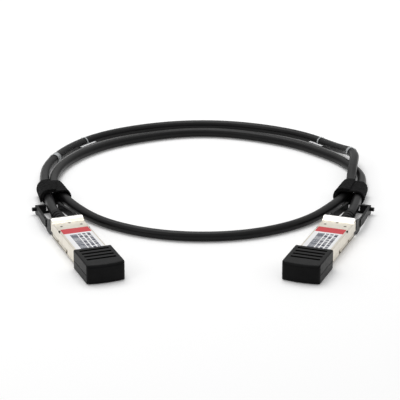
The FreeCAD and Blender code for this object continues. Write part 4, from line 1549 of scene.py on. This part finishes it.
@dataclass
class ClearSleeve:
    """A clear film tube on the outer strand, with pale cut ends and a painted highlight strip.

    Each spot on the strand is given by its distance to the side and its depth.
    """

    side: Side
    cable: Cable
    palette: Palette
    line_shares: dict[Side, float] = field(
        default_factory=lambda: {Side.LEFT: 0.5, Side.RIGHT: 0.36}
    )
    lower: Span = (0.0923, 0.1358)
    upper: Span = (0.0746, 0.1691)
    wall: float = 0.0003
    ring_wall: float = 0.000405
    ring_share: float = 0.5
    tube_angle: float = 60
    # Ends, width, drop, thickness and shaded angle of the painted highlight strip
    fin_ends: tuple[Span, Span] = ((0.0798, 0.1632), (0.0705, 0.1755))
    fin_width: float = 0.0017
    fin_drop: float = 0.20
    fin_thickness: float = 0.00012
    fin_angle: float = 50
    ring_middle: Spot = (0.0, 0.07, 0.0)

    def line_part(self) -> list[Vector]:
        """Take the stretch of the cable's line that holds the outer strand on this side.

        Returns:
            The line's first points.
        """
        line = self.cable.line()
        return line[:int(len(line) * self.line_shares[self.side])]

    def covered(self, line: list[Vector], first: Span, second: Span) -> tuple[int, int]:
        """Find where two spots on this side lie along a line.

        Args:
            line: Points of the cable's line.
            first: One spot.
            second: The other spot.

        Returns:
            The indices of the nearest points, the smaller one first.
        """
        found = []
        for aside, depth in (first, second):
            place = Vector((self.side.value * aside, depth))
            found.append(min(range(len(line)), key=lambda index: (line[index].xy - place).length))
        return min(found), max(found)

    def build(self) -> list[Piece]:
        """Make the film, its painted highlight strip and its two rings.

        Returns:
            The pieces that lie on the cable.
        """
        word = self.side.word
        line = self.line_part()
        first, last = self.covered(line, self.lower, self.upper)
        points = line[first:last + 1]
        film = self.tube(f"{word}_film", points, self.cable.radius + self.wall)
        dress(film, self.palette.material(FILM), ROOT_BODY, [f"{word}_clear_sleeve"])
        if self.side is Side.RIGHT:
            points = points[::-1]
        rings = []
        edge = [points[-1].lerp(points[-2], self.ring_share), points[-1]]
        for end, stretch in (("lower", points[:3]), ("upper", edge)):
            name = f"{word}_film_ring_{end}"
            ring = self.tube(name, stretch, self.cable.radius + self.ring_wall)
            dress(ring, self.palette.material(FILM_EDGE), ROOT_BODY)
            rings.append(ring)
        return [film, self.fin(line)] + rings

    def fin(self, line: list[Vector]) -> Piece:
        """Make a flat white strip low on the strand's inner side, a painted highlight of the lit
        gap.

        Args:
            line: Points of the cable's line.

        Returns:
            The dressed strip.
        """
        first, last = self.covered(line, *self.fin_ends)
        reach = self.cable.radius * math.sqrt(1 - self.fin_drop ** 2) + self.fin_width / 2
        drop = Vector((0, 0, self.cable.radius * self.fin_drop))
        spots = []
        for spot, ahead in zip(line[first:last], line[first + 1:last + 1]):
            inward = Vector((0, 0, 1)).cross(ahead - spot).normalized()
            if inward.dot(Vector(self.ring_middle) - spot) < 0:
                inward.negate()
            spots.append(spot + inward * reach - drop)
        piece = self.cable.spline(f"{self.side.word}_film_fin", spots, "POLY")
        piece.data.twist_mode = "Z_UP"
        piece.data.extrude = self.fin_width / 2
        for point in piece.data.splines[0].points:
            point.tilt = math.pi / 2
        activate(piece)
        bpy.ops.object.convert(target="MESH")
        modify(piece, "SOLIDIFY", thickness=self.fin_thickness, offset=0.0)
        smooth(piece, self.fin_angle)
        return dress(piece, self.palette.material(GLINT_STRIP), ROOT_BODY)

    def tube(self, name: str, points: list[Vector], radius: float) -> Piece:
        """Make an open tube of film along some points.

        Args:
            name: The tube's name.
            points: Points of its middle line.
            radius: Its radius.

        Returns:
            The tube's mesh object.
        """
        piece = self.cable.spline(name, points, "POLY")
        piece.data.bevel_depth = radius
        piece.data.bevel_resolution = self.cable.round_steps
        activate(piece)
        bpy.ops.object.convert(target="MESH")
        smooth(piece, self.tube_angle)
        return piece


@dataclass
class StrapTies:
    """The two hook-and-loop straps, each wrapped round two strands and over its own end."""

    palette: Palette
    spread: float = 0.0882
    depth: float = 0.0733
    turn: float = 15.4
    length: float = 0.018
    strap: float = 0.0012
    room: float = 0.0033
    lift: float = 0.00007
    front_pitch: float = 0.0089
    rear_pitch: float = 0.0062
    facets: int = 56
    rows: int = 11
    lap: float = 0.0011
    lap_side: float = -0.0008
    lap_low: float = -0.0016
    lap_share: float = 0.47
    edge_round: float = 0.00045
    edge_steps: int = 3
    pile_size: float = 0.0011
    pile_depth: float = 0.00045
    pile_level: float = 0.55
    shaded_angle: float = 70

    def place(self, side: Side) -> Matrix:
        """Find one tie's own frame in the row frame.

        Args:
            side: The tie's side.

        Returns:
            The frame's matrix.
        """
        height = self.room + self.strap + self.lift
        spot = Matrix.Translation((side.value * self.spread, self.depth, height))
        return spot @ Matrix.Rotation(math.radians(-side.value * self.turn), 4, "Z")

    def build(self) -> list[Piece]:
        """Make one strap, copy it and dress both.

        Returns:
            The finished ties.
        """
        strap = self.wrap()
        ties = []
        for side in Side:
            tie = twin(strap, f"{side.word}_tie_band")
            settle(tie, self.place(side))
            smooth(tie, self.shaded_angle)
            dress(tie, self.palette.material(TIE_FABRIC), ROOT_BODY, [f"{side.word}_tie"])
            ties.append(tie)
        bpy.data.objects.remove(strap)
        return ties

    def wrap(self) -> Piece:
        """Make the strap: a spread tube with its end lapped over, then thickened.

        Returns:
            The strap, in a tie's own frame.
        """
        deselect_all()
        bpy.ops.mesh.primitive_cylinder_add(
            vertices=self.facets, radius=self.room + self.strap / 2, depth=self.length,
            end_fill_type="NOTHING", rotation=(math.pi / 2, 0, 0),
        )
        piece = named_primitive("strap_pattern")
        self.spread_round_strands(piece)
        pick(
            piece, "EDGE",
            lambda edge: abs(edge.verts[0].co.y - edge.verts[1].co.y) > self.length / 2,
        )
        bpy.ops.mesh.subdivide(number_cuts=self.rows)
        bpy.ops.mesh.select_all(action="SELECT")
        bpy.ops.mesh.normals_make_consistent(inside=False)
        finish_edit()
        self.lap_over(piece)
        modify(piece, "SOLIDIFY", thickness=self.strap, offset=0.0)
        modify(
            piece, "BEVEL", width=self.edge_round, segments=self.edge_steps, limit_method="ANGLE"
        )
        modify(piece, "SUBSURF", levels=1, render_levels=1)
        self.ruffle(piece)
        return piece

    def spread_round_strands(self, piece: Piece) -> None:
        """Draw the tube out to both sides, further at the front than at the rear.

        Args:
            piece: The round tube.
        """
        narrowing = (self.rear_pitch - self.front_pitch) / 2
        for way in (-1, 1):
            move_points(
                piece, lambda vertex: vertex.co.x * way > TOUCH,
                (way * self.front_pitch / 2, 0, 0),
            )
            move_points(
                piece, lambda vertex: vertex.co.x * way > TOUCH and vertex.co.y > 0,
                (way * narrowing, 0, 0),
            )

    def lap_over(self, piece: Piece) -> None:
        """Lay the strap's loose end over its first turn, on the outer side of the top.

        Args:
            piece: The strap's surface.
        """
        def under_lap(face: Face) -> bool:
            """Tell whether the loose end covers a face.

            Args:
                face: A face of the strap's surface.

            Returns:
                True where the strap lies double.
            """
            spot = face.calc_center_median()
            within = abs(spot.y) < self.length * self.lap_share
            return spot.x < self.lap_side and spot.z > self.lap_low and within

        pick(piece, "FACE", under_lap)
        bpy.ops.mesh.duplicate()
        bpy.ops.transform.shrink_fatten(value=self.lap)
        finish_edit()

    def ruffle(self, piece: Piece) -> None:
        """Press the loop pile out of its even surface.

        Args:
            piece: The strap.
        """
        clouds = bpy.data.textures.new(f"{piece.name}_pile", "CLOUDS")
        clouds.noise_scale = self.pile_size
        clouds.noise_depth = 2
        modify(
            piece, "DISPLACE", texture=clouds, strength=self.pile_depth,
            mid_level=self.pile_level, texture_coords="LOCAL",
        )


@dataclass(frozen=True)
class Lamp:
    """A square soft lamp, with its power in watts."""

    name: str
    spot: Spot
    size: float
    power: float

    def hang(self, aim: Spot) -> None:
        """Put the lamp into the scene.

        Args:
            aim: The spot that it points at.
        """
        lamp = bpy.data.lights.new(self.name, "AREA")
        lamp.size = self.size
        lamp.energy = self.power
        holder = bpy.data.objects.new(self.name, lamp)
        holder.location = self.spot
        way = Vector(aim) - Vector(self.spot)
        holder.rotation_euler = way.to_track_quat("-Z", "Y").to_euler()
        bpy.context.scene.collection.objects.link(holder)


@dataclass
class Studio:
    """The pale floor, the soft lights and the camera.

    The lens and the sensor are in millimetres.
    """

    floor_size: float = 6.0
    floor_height: float = -0.00002
    floor_grey: float = 0.96
    floor_lift: float = 0.11
    surround_light: float = 0.50
    horizon: float = 0.32
    white_from: float = 0.62
    aim: Spot = (0.0, 0.06, 0.0)
    lamps: tuple[Lamp, ...] = (
        Lamp("overhead", (-0.13, 0.40, 1.15), 0.9, 8.0),
        Lamp("front_left", (-0.9, -0.8, 0.7), 0.6, 1.2),
    )
    middle: Span = (-0.0018, 0.0729)
    distance: float = 1.182
    elevation: float = 20.6
    lens: float = 180.0
    sensor: float = 36.0
    clip_start: float = 0.05

    def build(self) -> None:
        """Set up floor, surround, lights and camera."""
        self.floor()
        self.surround()
        for lamp in self.lamps:
            lamp.hang(self.aim)
        self.camera()
        bpy.context.scene.view_settings.view_transform = "Standard"

    def floor(self) -> None:
        """Lay a wide pale floor that keeps the object's shadow."""
        deselect_all()
        bpy.ops.mesh.primitive_plane_add(size=self.floor_size, location=(0, 0, self.floor_height))
        floor = named_primitive("studio_floor")
        material = bpy.data.materials.new("Studio floor")
        material.use_nodes = True
        tree = Tree(material.node_tree)
        nodes = material.node_tree.nodes
        nodes.remove(nodes["Principled BSDF"])
        matt = tree.add("BsdfDiffuse", {"Color": (*[self.floor_grey] * 3, 1)})
        path = tree.add("LightPath").outputs
        seen = tree.any_of(*(path[f"Is {ray} Ray"] for ray in ("Camera", "Glossy", "Transmission")))
        lift = tree.calculate("MULTIPLY", seen, self.floor_lift)
        glow = tree.add("Emission", {"Color": (1, 1, 1, 1), "Strength": lift})
        both = tree.add("AddShader", {0: matt.outputs[0], 1: glow.outputs[0]})
        tree.join(both.outputs[0], nodes["Material Output"].inputs[0])
        floor.data.materials.append(material)
        floor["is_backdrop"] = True

    def surround(self) -> None:
        """Put up a white surround that lights softly and mirrors darker near the horizon."""
        world = bpy.data.worlds.new("Studio surround")
        bpy.context.scene.world = world
        world.use_nodes = True
        tree = Tree(world.node_tree)
        back = world.node_tree.nodes["Background"]
        rise = tree.add("SeparateXYZ", {"Vector": tree.add("TexCoord").outputs["Object"]})
        path = tree.add("LightPath").outputs
        shine = tree.remap(rise.outputs[2], 0.0, self.white_from, self.horizon, 1.0)
        mirrored = tree.calculate("MULTIPLY", path["Is Glossy Ray"], shine)
        lighting = tree.remap(path["Is Glossy Ray"], 0.0, 1.0, self.surround_light, 0.0)
        strength = tree.any_of(
            path["Is Camera Ray"], path["Is Transmission Ray"],
            tree.calculate("ADD", mirrored, lighting),
        )
        tree.join(strength, back.inputs["Strength"])
        back.inputs["Color"].default_value = (1, 1, 1, 1)

    def camera(self) -> None:
        """Set the camera at the photograph's angle."""
        rise = math.radians(self.elevation)
        x, y = self.middle
        data = bpy.data.cameras.new("camera")
        data.lens = self.lens
        data.sensor_width = self.sensor
        data.clip_start = self.clip_start
        camera = bpy.data.objects.new("camera", data)
        camera.location = (
            x, y - self.distance * math.cos(rise), self.distance * math.sin(rise)
        )
        camera.rotation_euler = (math.pi / 2 - rise, 0, 0)
        bpy.context.scene.collection.objects.link(camera)
        bpy.context.scene.camera = camera


def corners(bounds: Any) -> Any:
    """Turn a box of any nesting into plain lists of numbers.

    Args:
        bounds: A number, or a box or corner made of numbers.

    Returns:
        The same numbers in lists.
    """
    if isinstance(bounds, (int, float)):
        return float(bounds)
    return [corners(part) for part in bounds]


def main() -> None:
    """Build the cable on its frame, piece by piece."""
    logging.basicConfig(level=logging.INFO, format="%(name)s: %(message)s")
    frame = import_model()
    solid = corners(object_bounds())
    palette = Palette()
    Studio().build()
    cable = Cable(palette)
    jacket = cable.build()
    plugs = [Plug(side, frame["nodes"], palette) for side in Side]
    for plug in plugs:
        plug.build()
    DustCap(palette).build(plugs)
    on_it = StrapTies(palette).build()
    for side in Side:
        on_it.extend(ClearSleeve(side, cable, palette).build())
    cable.declare(plugs[0])
    deselect_all()
    {"solid": solid, "dressed": corners(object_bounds())}


if __name__ == "__main__":
    main()
